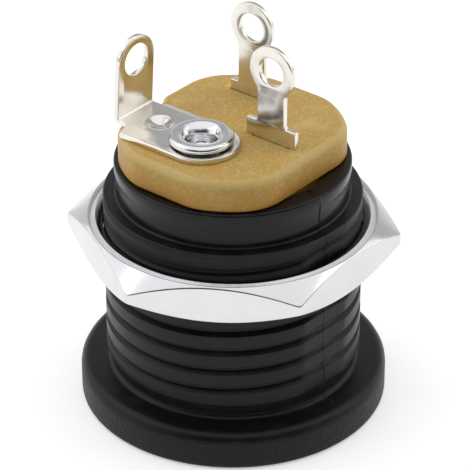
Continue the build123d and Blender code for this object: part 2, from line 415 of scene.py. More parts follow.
def weight_normals(piece: bpy.types.Object) -> None:
    """Shades a piece's flat faces flat and rounds only its narrow edges."""
    normals = piece.modifiers.new("normals", "WEIGHTED_NORMAL")
    normals.keep_sharp = True


# Node trees


class NodeBench:
    """Lays out the nodes of one tree and links them."""

    def __init__(self, tree: bpy.types.NodeTree) -> None:
        """Starts on a tree.

        Args:
            tree: A geometry or shader node tree.
        """
        self.tree = tree

    def add(self, kind: str, **settings: object) -> bpy.types.Node:
        """Adds a node and sets its properties.

        Args:
            kind: The node's type name.
            settings: Properties to set.

        Returns:
            The node.
        """
        node = self.tree.nodes.new(kind)
        for name, value in settings.items():
            setattr(node, name, value)
        return node

    def feed(self, socket: bpy.types.NodeSocket, value: object) -> None:
        """Links a socket to another socket, or sets it to a constant.

        Args:
            socket: The input.
            value: The other socket or the constant.
        """
        if isinstance(value, bpy.types.NodeSocket):
            self.tree.links.new(value, socket)
        else:
            socket.default_value = value

    def math(self, operation: str, *values: object) -> bpy.types.NodeSocket:
        """Adds a math node.

        Args:
            operation: The operation's name.
            values: Its inputs, sockets or constants.

        Returns:
            Its result.
        """
        node = self.add("ShaderNodeMath", operation=operation)
        for socket, value in zip(node.inputs, values):
            self.feed(socket, value)
        return node.outputs[0]

    def times(self, product: object, *values: object) -> bpy.types.NodeSocket:
        """Multiplies sockets or constants.

        Args:
            product: The first of them.
            values: The others.

        Returns:
            The product.
        """
        for value in values:
            product = self.math("MULTIPLY", product, value)
        return product

    def rise(
        self,
        value: object,
        low: object,
        high: object,
        start: float = 0.0,
        end: float = 1.0,
        kind: str = "LINEAR",
    ) -> bpy.types.NodeSocket:
        """Maps a value and clamps it.

        Args:
            value: The value.
            low: Where the rise begins.
            high: Where it ends.
            start: The result at low.
            end: The result at high.
            kind: The interpolation between them.

        Returns:
            The mapped value.
        """
        node = self.add("ShaderNodeMapRange", interpolation_type=kind)
        for socket, fed in zip(node.inputs, (value, low, high, start, end)):
            self.feed(socket, fed)
        return node.outputs[0]

    def ramp(self, value: object, low: object, high: object) -> bpy.types.NodeSocket:
        """A smooth rise from 0 at low to 1 at high."""
        return self.rise(value, low, high, kind="SMOOTHSTEP")

    def blend(self, factor: object, first: object, second: object) -> bpy.types.NodeSocket:
        """Mixes two colours.

        Args:
            factor: From 0, the first, to 1, the second.
            first: A colour or a socket.
            second: A colour or a socket.

        Returns:
            The mixed colour.
        """
        node = self.add("ShaderNodeMix", data_type="RGBA")
        sockets = [s for s in node.inputs if s.type == "RGBA"]
        self.feed(next(s for s in node.inputs if s.type == "VALUE"), factor)
        self.feed(sockets[0], first)
        self.feed(sockets[1], second)
        return next(s for s in node.outputs if s.type == "RGBA")


class GeometryBench(NodeBench):
    """A geometry node tree with named inputs."""

    def __init__(self, name: str) -> None:
        """Makes the tree with a geometry input and output.

        Args:
            name: The tree's name.
        """
        super().__init__(bpy.data.node_groups.new(name, "GeometryNodeTree"))
        self.tree.interface.new_socket("Geometry", in_out="INPUT", socket_type="NodeSocketGeometry")
        self.tree.interface.new_socket("Geometry", in_out="OUTPUT", socket_type="NodeSocketGeometry")
        self.source = self.add("NodeGroupInput")
        self.sink = self.add("NodeGroupOutput")

    def number(self, name: str, whole: bool = False) -> bpy.types.NodeSocket:
        """Adds a named number input.

        Args:
            name: The input's name.
            whole: Whether it is a count.

        Returns:
            The socket to link from.
        """
        kind = "NodeSocketInt" if whole else "NodeSocketFloat"
        self.tree.interface.new_socket(name, in_out="INPUT", socket_type=kind)
        return self.source.outputs[name]

    def material(self, name: str) -> bpy.types.NodeSocket:
        """Adds a named material input."""
        self.tree.interface.new_socket(name, in_out="INPUT", socket_type="NodeSocketMaterial")
        return self.source.outputs[name]

    def run(self, mesh: bpy.types.Mesh, values: dict[str, object]) -> bpy.types.Mesh:
        """Evaluates the tree on a mesh.

        Args:
            mesh: The mesh that it starts from.
            values: The named inputs.

        Returns:
            The result as a plain mesh.
        """
        holder = bpy.data.objects.new(self.tree.name, mesh)
        bpy.context.scene.collection.objects.link(holder)
        modifier = holder.modifiers.new("tree", "NODES")
        modifier.node_group = self.tree
        for item in self.tree.interface.items_tree:
            if item.in_out == "INPUT" and item.name in values:
                modifier[item.identifier] = values[item.name]
        graph = bpy.context.evaluated_depsgraph_get()
        result = bpy.data.meshes.new_from_object(holder.evaluated_get(graph))
        holder.modifiers.remove(modifier)
        bpy.data.objects.remove(holder)
        return result


class ScrewThread(GeometryBench):
    """Cuts a helical groove round a shank or a bore.

    The source mesh holds the section of one pitch, point by point: X is the height from the groove's middle
    and Y the share of the groove's depth.
    """

    def __init__(self) -> None:
        """Builds the tree."""
        super().__init__("screw_thread")
        segments = self.number("Segments", whole=True)
        section_points = self.number("Section Points", whole=True)
        turns = self.number("Turns", whole=True)
        pitch = self.number("Pitch")
        crest = self.number("Crest Radius")
        depth = self.number("Groove Depth")
        middle = self.number("Groove Height")
        bottom = self.number("Bottom")
        top = self.number("Top")
        start_turn = self.number("Start Turn")
        run_in = self.number("Run In")
        run_out = self.number("Run Out")
        flat_distance = self.number("Flat Distance")
        flat_turn = self.number("Flat Turn")
        material = self.material("Material")

        columns = self.math("ADD", segments, 1)
        rows = self.math("ADD", self.times(turns, section_points), 1)
        grid = self.add("GeometryNodeMeshGrid")
        self.feed(grid.inputs["Vertices X"], rows)
        self.feed(grid.inputs["Vertices Y"], columns)
        index = self.add("GeometryNodeInputIndex").outputs[0]
        row = self.math("FLOOR", self.math("DIVIDE", self.math("ADD", index, 0.5), columns))
        column = self.math("SUBTRACT", index, self.times(row, columns))
        share = self.math("DIVIDE", column, segments)
        turn = self.math("FLOOR", self.math("DIVIDE", self.math("ADD", row, 0.5), section_points))
        step = self.math("SUBTRACT", row, self.times(turn, section_points))

        section = self.add("GeometryNodeSampleIndex", data_type="FLOAT_VECTOR", domain="POINT")
        self.feed(section.inputs["Geometry"], self.source.outputs["Geometry"])
        self.feed(section.inputs["Value"], self.add("GeometryNodeInputPosition").outputs[0])
        self.feed(section.inputs["Index"], step)
        split = self.add("ShaderNodeSeparateXYZ")
        self.feed(split.inputs[0], section.outputs[0])

        helix_turn = self.math("ADD", self.math("SUBTRACT", turn, 1), share)
        height = self.math("ADD", self.times(helix_turn, pitch), self.math("ADD", middle, split.outputs["X"]))
        begun = self.ramp(helix_turn, start_turn, self.math("ADD", start_turn, run_in))
        left = self.math("SUBTRACT", 1, self.ramp(height, self.math("SUBTRACT", top, run_out), top))
        risen = self.ramp(height, bottom, self.math("ADD", bottom, run_out))
        cut = self.times(begun, risen, left, split.outputs["Y"], depth)
        radius = self.math("SUBTRACT", crest, cut)
        angle = self.times(share, 2 * math.pi)
        facing = self.math("ABSOLUTE", self.math("COSINE", self.math("SUBTRACT", angle, flat_turn)))
        flat = self.math("DIVIDE", flat_distance, self.math("MAXIMUM", facing, LEAST_FACING))
        radius = self.math("MINIMUM", radius, flat)
        place = self.add("ShaderNodeCombineXYZ")
        self.feed(place.inputs["X"], self.times(radius, self.math("COSINE", angle)))
        self.feed(place.inputs["Y"], self.times(radius, self.math("SINE", angle)))
        self.feed(place.inputs["Z"], self.math("MINIMUM", self.math("MAXIMUM", height, bottom), top))

        shaped = self.add("GeometryNodeSetPosition")
        self.feed(shaped.inputs["Geometry"], grid.outputs["Mesh"])
        self.feed(shaped.inputs["Position"], place.outputs[0])
        welded = self.add("GeometryNodeMergeByDistance")
        self.feed(welded.inputs["Geometry"], shaped.outputs["Geometry"])
        self.feed(welded.inputs["Distance"], WELD / MM)
        realized = self.add("GeometryNodeRealizeInstances")
        self.feed(realized.inputs["Geometry"], welded.outputs["Geometry"])
        dressed = self.add("GeometryNodeSetMaterial")
        self.feed(dressed.inputs["Geometry"], realized.outputs["Geometry"])
        self.feed(dressed.inputs["Material"], material)
        self.feed(self.sink.inputs["Geometry"], dressed.outputs["Geometry"])


@dataclass(frozen=True)
class ThreadForm:
    """The section of one groove, in millimetres."""

    pitch: float = 1.0
    depth: float = 0.24
    mouth: float = 0.42
    floor: float = 0.16
    edge_round: float = 0.035
    edge_steps: int = 3

    def section(self) -> bpy.types.Mesh:
        """The section as a mesh of loose points: height from the groove's middle, and share of its depth.

        Returns:
            The mesh.
        """
        half_pitch, half_mouth = self.pitch / 2, self.mouth / 2
        crest_middle = (half_pitch + half_mouth) / 2
        half = [(half_pitch, 0.0), (half_mouth, 0.0), (self.floor / 2, self.depth)]
        line = [(-x, y) for x, y in half] + half[::-1]
        points = rounded(line, [0, *[self.edge_round] * 4, 0], False, self.edge_steps)[1:-1]
        points = [(-half_pitch, 0.0), (-crest_middle, 0.0), *points, (crest_middle, 0.0)]
        mesh = bpy.data.meshes.new("thread_section")
        mesh.from_pydata([(x, y / self.depth, 0) for x, y in points], [], [])
        return mesh

    def wrap(self, segments: int, values: dict[str, object]) -> bpy.types.Mesh:
        """Winds the section round a cylinder.

        Args:
            segments: Facets round the axis.
            values: The other named inputs of the tree.

        Returns:
            The threaded wall, in millimetres.
        """
        section = self.section()
        turns = math.ceil((values["Top"] - values["Bottom"]) / self.pitch) + 2
        sizes = {
            "Segments": segments,
            "Section Points": len(section.vertices),
            "Turns": turns,
            "Pitch": self.pitch,
        }
        return ScrewThread().run(section, sizes | values)


class FoldLine:
    """The middle line of a bent sheet, followed by its length."""

    def __init__(self, points: Loop) -> None:
        """Measures the line.

        Args:
            points: The line's points, close together in its bends.
        """
        self.points = [Vector(p) for p in points]
        self.stops = [0.0]
        for first, second in zip(self.points, self.points[1:]):
            self.stops.append(self.stops[-1] + (second - first).length)
        ways = [(b - a).normalized() for a, b in zip(self.points, self.points[1:])]
        corners = [ways[0], *[(a + b).normalized() for a, b in zip(ways, ways[1:])], ways[-1]]
        self.squares = [Vector((-way.y, way.x)) for way in corners]

    def at(self, along: float, off: float) -> Vector:
        """A point of the sheet.

        Args:
            along: Length along the line.
            off: Distance to the left of the line.

        Returns:
            The point.
        """
        last = len(self.stops) - 2
        i = next((k for k in range(last) if along <= self.stops[k + 1]), last)
        share = (along - self.stops[i]) / (self.stops[i + 1] - self.stops[i])
        square = self.squares[i].lerp(self.squares[i + 1], min(max(share, 0), 1)).normalized()
        return self.points[i].lerp(self.points[i + 1], share) + square * off


# Finishes


class FinishBench(NodeBench):
    """The nodes of one material, whose patterns read Object coordinates in millimetres."""

    def __init__(self, name: str) -> None:
        """Makes the material.

        Args:
            name: Its name.
        """
        self.made = bpy.data.materials.new(name)
        self.made.use_nodes = True
        super().__init__(self.made.node_tree)
        self.shader = self.tree.nodes["Principled BSDF"]
        scale = self.add("ShaderNodeVectorMath", operation="SCALE")
        self.feed(scale.inputs[0], self.add("ShaderNodeTexCoord").outputs["Object"])
        scale.inputs["Scale"].default_value = 1 / MM
        self.place = scale.outputs[0]
        parts = self.add("ShaderNodeSeparateXYZ")
        self.feed(parts.inputs[0], self.place)
        self.x, self.y, self.z = parts.outputs
        squares = [self.times(way, way) for way in (self.x, self.y)]
        self.radius = self.math("SQRT", self.math("ADD", *squares))

    def turn(self) -> bpy.types.NodeSocket:
        """The direction round the part's axis, in radians from +X."""
        return self.math("ARCTAN2", self.y, self.x)

    def stretch(self, scale: Sequence[float]) -> bpy.types.NodeSocket:
        """The place, scaled for each axis.

        Args:
            scale: One factor for each axis.

        Returns:
            The scaled place.
        """
        node = self.add("ShaderNodeMapping")
        self.feed(node.inputs["Vector"], self.place)
        node.inputs["Scale"].default_value = scale
        return node.outputs[0]

    def noise(self, size: float, detail: float = 4.0, place: object = None) -> bpy.types.NodeSocket:
        """A noise pattern.

        Args:
            size: Size of its blotches in millimetres.
            detail: Octaves.
            place: Where it is read, the place itself if not given.

        Returns:
            Its value.
        """
        node = self.add("ShaderNodeTexNoise")
        self.feed(node.inputs["Vector"], place or self.place)
        node.inputs["Scale"].default_value = 1 / size
        node.inputs["Detail"].default_value = detail
        return node.outputs[0]

    def bump(self, height: object, depth: float, under: object = None) -> bpy.types.NodeSocket:
        """Adds a bump.

        Args:
            height: The relief, from 0 to 1.
            depth: Its depth in millimetres.
            under: The normal of a bump below it.

        Returns:
            The bumped normal.
        """
        node = self.add("ShaderNodeBump")
        node.inputs["Distance"].default_value = depth * MM
        self.feed(node.inputs["Height"], height)
        if under is not None:
            self.feed(node.inputs["Normal"], under)
        return node.outputs[0]

    def finish(
        self, colour: object, roughness: object, normal: object, **constants: object
    ) -> bpy.types.Material:
        """Feeds the shader.

        Args:
            colour: The base colour.
            roughness: The roughness.
            normal: The bumped normal.
            constants: Other shader inputs, with an underscore for a space.

        Returns:
            The finished material.
        """
        self.feed(self.shader.inputs["Base Color"], colour)
        self.feed(self.shader.inputs["Roughness"], roughness)
        self.feed(self.shader.inputs["Normal"], normal)
        for name, value in constants.items():
            self.shader.inputs[name.replace("_", " ")].default_value = value
        return self.made


@dataclass(frozen=True)
class Tint:
    """A colour that comes up where a pattern passes from one value to another."""

    colour: Colour
    limits: Point2
    share: float = 1.0

    def lay(self, bench: FinishBench, pattern: bpy.types.NodeSocket, under: object) -> bpy.types.NodeSocket:
        """Lays the colour over another.

        Args:
            bench: The material's nodes.
            pattern: The pattern.
            under: The colour below.

        Returns:
            The mixed colour.
        """
        return bench.blend(bench.rise(pattern, *self.limits, 0, self.share), under, self.colour)


@dataclass(frozen=True)
class MouldedBlack:
    """Black moulding: smooth and glossy, with a grained rim, a hazier thread and a parting line."""

    colour: Colour = (0.0042, 0.0042, 0.0047, 1)
    bloom: Tint = Tint((0.009, 0.009, 0.01, 1), (0.45, 0.75))
    smear_size: float = 0.7
    smear_limits: Point2 = (0.35, 0.7)
    gloss: Point2 = (0.2, 0.27)
    rim_radii: Point2 = (6.8, 6.95)
    rim_levels: Point2 = (1.55, 1.3)
    rim_haze: float = 0.1
    thread_radii: Point2 = (5.42, 5.52)
    thread_haze: float = 0.14
    grain_size: float = 0.16
    grain_depth: float = 0.06
    ripple_size: float = 1.6
    ripple_depth: float = 0.006
    parting_turn: float = -4.8
    parting_width: float = 0.06
    parting_radii: Point2 = (6.3, 6.2)
    parting_depth: float = 0.035
    specular: float = 0.24

    def build(self) -> bpy.types.Material:
        """Makes the material.

        Returns:
            The material.
        """
        bench = FinishBench("moulded_black")
        smear = bench.noise(self.smear_size, 6)
        rim = bench.times(bench.rise(bench.radius, *self.rim_radii), bench.rise(bench.z, *self.rim_levels))
        thread = bench.rise(bench.radius, *self.thread_radii)
        roughness = bench.rise(smear, *self.smear_limits, *self.gloss)
        for area, haze in ((rim, self.rim_haze), (thread, self.thread_haze)):
            roughness = bench.math("ADD", roughness, bench.times(area, haze))
        normal = bench.bump(bench.noise(self.ripple_size, 2), self.ripple_depth)
        normal = bench.bump(self.parting(bench), self.parting_depth, normal)
        normal = bench.bump(bench.times(bench.noise(self.grain_size, 5), rim), self.grain_depth, normal)
        colour = self.bloom.lay(bench, smear, self.colour)
        return bench.finish(colour, roughness, normal, Specular_IOR_Level=self.specular)

    def parting(self, bench: FinishBench) -> bpy.types.NodeSocket:
        """The parting line of the thread and the neck.

        Args:
            bench: The material's nodes.

        Returns:
            The line's relief, from 0 beside it to 1.
        """
        turned = bench.math("SUBTRACT", bench.turn(), math.radians(self.parting_turn))
        off_line = bench.times(bench.math("ABSOLUTE", turned), bench.radius)
        return bench.times(
            bench.rise(off_line, self.parting_width, 0), bench.rise(bench.radius, *self.parting_radii)
        )


@dataclass(frozen=True)
class TanLaminate:
    """Resin-bonded board: tan, clouded and specked, with painted shade that makes its sides browner and
    darker low down, and a painted highlight along its rounded top edge.
    """

    colour: Colour = (0.53, 0.34, 0.085, 1)
    fibre: Tint = Tint((0.43, 0.25, 0.05, 1), (0.52, 0.78), 0.6)
    warm: Tint = Tint((0.56, 0.31, 0.05, 1), (0.46, 0.3), 0.75)
    pale: Tint = Tint((0.66, 0.485, 0.19, 1), (0.54, 0.74), 0.6)
    speck: Tint = Tint((0.72, 0.56, 0.28, 1), (0.5, 0.68), 0.42)
    fibre_size: float = 0.09
    cloud_size: float = 1.3
    speck_size: float = 0.14
    layer_size: float = 0.5
    layer_stretch: Point3 = (0.25, 0.25, 7.0)
    # Painted shade: the sides are coloured browner and darker towards the black rim below them, where they
    # lie in shade.
    painted_shade_brown: Colour = (0.5, 0.235, 0.03, 1)
    painted_shade_levels: Point2 = (PLAN.rim + 1.15, PLAN.rim + 0.1)
    painted_shade_share: float = 0.9
    # Painted highlight: a paler band is coloured along the rounded top edge, where it catches the light.
    painted_highlight_below: Point2 = (PLAN.cap_top - 0.005, PLAN.cap_top - 0.06)
    painted_highlight_above: Point2 = (PLAN.cap_top - 0.42, PLAN.cap_top - 0.2)
    painted_highlight_share: float = 0.75
    amber: Colour = (0.8, 0.5, 0.05, 1)
    amber_middle: Point2 = (-2.46, 2.9)
    amber_half: Point2 = (0.22, 0.36)
    amber_fade: float = 0.1
    uneven: tuple[float, float, float, float] = (0.3, 0.6, 0.6, 1.0)
    grain_depth: float = 0.012
    grain_limits: Point2 = (0.3, 0.7)
    roughness: Point2 = (0.42, 0.56)
    specular: float = 0.3

    def build(self) -> bpy.types.Material:
        """Makes the material.

        Returns:
            The material.
        """
        bench = FinishBench("tan_laminate")
        fibres = bench.noise(self.fibre_size, 6)
        cloud = bench.noise(self.cloud_size, 4)
        layers = bench.noise(self.layer_size, 4, bench.stretch(self.layer_stretch))
        colour = self.fibre.lay(bench, fibres, self.colour)
        colour = self.warm.lay(bench, cloud, colour)
        colour = self.pale.lay(bench, cloud, colour)
        colour = self.speck.lay(bench, bench.noise(self.speck_size, 4), colour)
        # Painted shade: browner and darker low on the sides, broken up by the layers.
        low = bench.rise(bench.z, *self.painted_shade_levels, 0, self.painted_shade_share)
        colour = bench.blend(bench.times(low, bench.rise(layers, *self.uneven)), colour, self.painted_shade_brown)
        # Painted highlight: the rounded top edge, between the top face and the side, is coloured paler.
        painted_edge_highlight = bench.times(bench.rise(bench.z, *self.painted_highlight_above), bench.rise(bench.z, *self.painted_highlight_below))
        colour = bench.blend(bench.times(painted_edge_highlight, self.painted_highlight_share), colour, self.pale.colour)
        resin = bench.times(self.amber_patch(bench), bench.rise(fibres, *self.uneven))
        colour = bench.blend(resin, colour, self.amber)
        normal = bench.bump(fibres, self.grain_depth)
        normal = bench.bump(layers, self.grain_depth / 2, normal)
        roughness = bench.rise(fibres, *self.grain_limits, *self.roughness)
        return bench.finish(colour, roughness, normal, Specular_IOR_Level=self.specular)

    def amber_patch(self, bench: FinishBench) -> bpy.types.NodeSocket:
        """The resin beside the sleeve lug's slot.

        Args:
            bench: The material's nodes.

        Returns:
            1 in the patch and 0 outside it.
        """
        inside = []
        for place, middle, half in zip((bench.x, bench.y), self.amber_middle, self.amber_half):
            off = bench.math("ABSOLUTE", bench.math("SUBTRACT", place, middle))
            inside.append(bench.rise(off, half, half - self.amber_fade))
        return bench.times(*inside)


@dataclass(frozen=True)
class BrightPlating:
    """Plated brass: bright metal with fine rolling or turning marks, a faint haze and shallow dents."""

    name: str
    colour: Colour
    haze: Colour
    roughness: Point2
    marks: Point3
    turned: bool = False
    ribs: int = 0
    marks_size: float = 0.5
    marks_depth: float = 0.0012
    marks_roughness: Point2 = (-0.02, 0.04)
    haze_size: float = 1.6
    dent_size: float = 1.4
    dent_depth: float = 0.0024
    limits: Point2 = (0.4, 0.7)
    rib_band: Point2 = (6.15, 6.45)
    rib_fade: float = 0.03
    rib_depth: float = 0.012

    def build(self) -> bpy.types.Material:
        """Makes the material.

        Returns:
            The material.
        """
        bench = FinishBench(self.name)
        place = self.polar(bench) if self.turned else bench.stretch(self.marks)
        marks = bench.noise(self.marks_size, 3, place)
        cloud = bench.noise(self.haze_size, 3)
        colour = Tint(self.haze, self.limits).lay(bench, cloud, self.colour)
        roughness = bench.rise(cloud, *self.limits, *self.roughness)
        roughness = bench.math("ADD", roughness, bench.rise(marks, *self.limits, *self.marks_roughness))
        normal = bench.bump(marks, self.marks_depth)
        normal = bench.bump(bench.noise(self.dent_size, 2), self.dent_depth, normal)
        if self.ribs:
            normal = bench.bump(self.ring_ribs(bench), self.rib_depth, normal)
        return bench.finish(colour, roughness, normal, Metallic=1.0)

    def polar(self, bench: FinishBench) -> bpy.types.NodeSocket:
        """Where turning marks are read.

        Args:
            bench: The material's nodes.

        Returns:
            Radius, turn and height, scaled.
        """
        polar = bench.add("ShaderNodeCombineXYZ")
        for socket, place, scale in zip(polar.inputs, (bench.radius, bench.turn(), bench.z), self.marks):
            bench.feed(socket, bench.times(place, scale))
        return polar.outputs[0]

    def ring_ribs(self, bench: FinishBench) -> bpy.types.NodeSocket:
        """The fine ribs across the band of a nut's ring face.

        Args:
            bench: The material's nodes.

        Returns:
            The ribs' relief.
        """
        inner, outer = self.rib_band
        begun = bench.rise(bench.radius, inner, inner + self.rib_fade)
        ended = bench.rise(bench.radius, outer, outer - self.rib_fade)
        wave = bench.math("SINE", bench.times(bench.turn(), float(self.ribs)))
        return bench.times(wave, begun, ended)


class Plating(Enum):
    """The platings of the metal pieces."""

    NUT = BrightPlating(
        "nut_plating",
        colour=(0.695, 0.695, 0.71, 1),
        haze=(0.675, 0.67, 0.665, 1),
        roughness=(0.15, 0.19),
        marks=(9.0, 0.8, 9.0),
        turned=True,
        ribs=420,
    )
    LUG = BrightPlating(
        "lug_plating",
        colour=(0.79, 0.765, 0.71, 1),
        haze=(0.74, 0.71, 0.65, 1),
        roughness=(0.17, 0.23),
        marks=(0.8, 0.8, 14.0),
    )
    STRIP = BrightPlating(
        "strip_plating",
        colour=(0.79, 0.77, 0.725, 1),
        haze=(0.74, 0.715, 0.665, 1),
        roughness=(0.15, 0.21),
        marks=(0.8, 14.0, 14.0),
    )
    RIVET = BrightPlating(
        "rivet_plating",
        colour=(0.80, 0.80, 0.81, 1),
        haze=(0.70, 0.695, 0.69, 1),
        roughness=(0.16, 0.26),
        marks=(8.0, 8.0, 8.0),
    )
    PIN = BrightPlating(
        "pin_plating",
        colour=(0.80, 0.775, 0.71, 1),
        haze=(0.70, 0.67, 0.6, 1),
        roughness=(0.14, 0.22),
        marks=(8.0, 0.6, 8.0),
        turned=True,
    )

    def build(self) -> bpy.types.Material:
        """Makes the plating's material."""
        return self.value.build()


# The socket's pieces


@dataclass
class Housing:
    """The black moulding: flange, threaded shank with two flats, neck and plug way. Millimetres."""

    flange_radius: float = side("housing", 0)
    flange_top: float = 1.8
    flange_front_round: float = 0.25
    flange_rear_round: float = 0.45
    relief_radius: float = 5.6
    relief_top: float = 2.6
    relief_round: float = 0.04
    root_round: float = 0.25
    crest_radius: float = 5.79
    crest_top: float = 10.3
    crest_round: float = 0.03
    crest_chamfer: float = 0.05
    neck_radius: float = 5.28
    neck_waist: float = 0.07
    neck_root_round: float = 0.1
    rim_lip: float = 0.8
    lip_round: float = 1.5
    rim_round: float = 0.12
    mouth_radius: float = 3.45
    mouth_round: float = 0.1
    way_radius: float = 2.95
    way_round: float = 0.08
    lead_in: float = 0.5
    guide_length: float = 4.0
    chamber_radius: float = 4.4
    chamber_round: float = 0.05
    flat_distance: float = 5.64
    flat_turn: float = -5.0
    groove_height: float = 2.55
    start_turn: float = 0.4
    run_in: float = 0.12
    run_out: float = 0.22
    segments: int = 320
    round_steps: int = 5
    form: ThreadForm = field(default_factory=ThreadForm)

    @property
    def neck_foot(self) -> float:
        """Where the neck starts, a chamfer above the thread."""
        return self.crest_top + self.crest_chamfer

    def wall(self) -> Loop:
        """The section's line from the thread's top over the rim, through the plug way and back to the thread.

        Returns:
            Radius and height of its points.
        """
        waist = self.neck_radius - self.neck_waist
        corners = [
            (self.crest_radius, self.crest_top, 0),
            (self.crest_radius - self.crest_chamfer, self.neck_foot, self.crest_round),
            (waist, self.neck_foot, self.neck_root_round),
            (waist, PLAN.rim - self.rim_lip, self.lip_round),
            (self.neck_radius, PLAN.rim - self.rim_lip / 2, self.lip_round),
            (self.neck_radius, PLAN.rim, self.rim_round),
            (self.chamber_radius, PLAN.rim, self.chamber_round),
            (self.chamber_radius, self.guide_length, self.chamber_round),
            (self.way_radius, self.guide_length, self.way_round),
            (self.way_radius, self.lead_in, self.mouth_round),
            (self.mouth_radius, 0, self.mouth_round),
            (self.flange_radius, 0, self.flange_front_round),
            (self.flange_radius, self.flange_top, self.flange_rear_round),
            (self.relief_radius, self.flange_top, self.root_round),
            (self.relief_radius, self.relief_top, self.relief_round),
            (self.crest_radius, self.relief_top, 0),
        ]
        return softened(corners, self.round_steps)

    def clip_flats(self, place: Vector) -> Vector:
        """Moves a point of the thread in to the flats.

        Args:
            place: The point.

        Returns:
            Its new place.
        """
        if not self.relief_top - WELD <= place.z <= self.neck_foot:
            return place
        radius = math.hypot(place.x, place.y)
        facing = abs(math.cos(math.atan2(place.y, place.x) - math.radians(self.flat_turn)))
        limit = min(radius, self.flat_distance / max(facing, LEAST_FACING))
        return Vector((place.x * limit / radius, place.y * limit / radius, place.z))

    def build(self) -> bpy.types.Object:
        """Makes the housing.

        Returns:
            The piece.
        """
        solid = Solid()
        solid.lathe(self.wall(), self.segments)
        solid.bend(self.clip_flats)
        values = {
            "Crest Radius": self.crest_radius,
            "Groove Depth": self.form.depth,
            "Groove Height": self.groove_height,
            "Bottom": self.relief_top,
            "Top": self.crest_top,
            "Start Turn": self.start_turn,
            "Run In": self.run_in,
            "Run Out": self.run_out,
            "Flat Distance": self.flat_distance,
            "Flat Turn": math.radians(self.flat_turn),
        }
        solid.add_mesh(self.form.wrap(self.segments, values))
        piece = solid.piece("housing_moulding", MouldedBlack().build())
        return settle(piece, Body.SOCKET, Slot.BLACK_MOULDING, "housing")


@dataclass
class HexNut:
    """The hexagon nut: chamfered, with a sloped band and a countersink on both faces. Millimetres."""

    foot: float = side("hex_nut", 2, False)
    top: float = side("hex_nut", 2)
    flat_distance: float = 6.575
    corner_round: float = 0.05
    corner_share: float = 0.3
    turn: float = 31.9
    bore_radius: float = 5.85
    thread_depth: float = 0.2
    mouth_depth: float = 0.19
    sink_radius: float = 5.91
    sink_depth: float = 0.15
    sink_round: float = 0.02
    band_inner: float = 6.17
    band_crest: float = 0.015
    band_crest_round: float = 0.03
    band_outer: float = 6.44
    band_foot: float = 0.17
    band_foot_round: float = 0.015
    seat_radius: float = 6.47
    chamfer_radius: float = 6.5
    chamfer_reach: float = 1.092
    chamfer_drop: float = 0.7
    face_gap: float = 0.04
    edge_round: float = 0.13
    edge_steps: int = 3
    groove_height: float = 8.05
    start_turn: float = -5.0
    run_in: float = 0.1
    run_out: float = 0.08
    columns_a_side: int = 52
    sharp: float = 24.0
    form: ThreadForm = field(default_factory=lambda: ThreadForm(mouth=0.62, floor=0.3))

    def reach(self, turn: float) -> float:
        """The hexagon's radius in a direction.

        Args:
            turn: The direction in radians.

        Returns:
            The radius, with the corner blunted.
        """
        sector = math.pi / 3
        local = (turn - math.radians(self.turn) + sector / 2) % sector - sector / 2
        radius = self.flat_distance / math.cos(sector / 2 - abs(local))
        corner = self.flat_distance / math.cos(sector / 2) - self.corner_round
        return min(radius, corner + (radius - corner) * self.corner_share) if radius > corner else radius

    def section(self, hexagon: float) -> Loop:
        """The section from the bore's mouth below over the rim to its mouth above.

        Args:
            hexagon: The hexagon's radius there.

        Returns:
            Radius and height of its points.
        """
        face = min(hexagon - self.face_gap, self.chamfer_radius)
        slope = self.chamfer_drop / self.chamfer_reach
        drop = max(hexagon - self.chamfer_radius, self.face_gap) * slope
        half = [
            (self.bore_radius, self.mouth_depth, 0),
            (self.sink_radius, self.sink_depth, self.sink_round),
            (self.band_inner, self.band_crest, self.band_crest_round),
            (self.band_outer, self.band_foot, self.band_foot_round),
            (self.seat_radius, 0, 0),
            (face, 0, 0),
            (hexagon, drop, self.edge_round),
        ]
        lower = [(radius, self.foot + down, edge) for radius, down, edge in half]
        upper = [(radius, self.top - down, edge) for radius, down, edge in reversed(half)]
        return softened(lower + upper, self.edge_steps)

    def build(self) -> bpy.types.Object:
        """Makes the nut.

        Returns:
            The piece.
        """
        solid = Solid()
        segments = 6 * self.columns_a_side
        turns = [2 * math.pi * i / segments for i in range(segments)]
        columns = [self.section(self.reach(turn)) for turn in turns]
        solid.skin(
            [
                solid.ring([(r * math.cos(t), r * math.sin(t), z) for (r, z), t in zip(row, turns)])
                for row in zip(*columns)
            ]
        )
        values = {
            "Crest Radius": self.bore_radius,
            "Groove Depth": -self.thread_depth,
            "Groove Height": self.groove_height,
            "Bottom": self.foot + self.mouth_depth,
            "Top": self.top - self.mouth_depth,
            "Start Turn": self.start_turn,
            "Run In": self.run_in,
            "Run Out": self.run_out,
            "Flat Distance": 2 * self.bore_radius,
            "Flat Turn": 0.0,
        }
        solid.add_mesh(self.form.wrap(segments, values))
        piece = solid.piece("hexagon_nut", Plating.NUT.build(), self.sharp)
        weight_normals(piece)
        return settle(piece, Body.NUT, Slot.NUT_PLATING, "hex_nut")


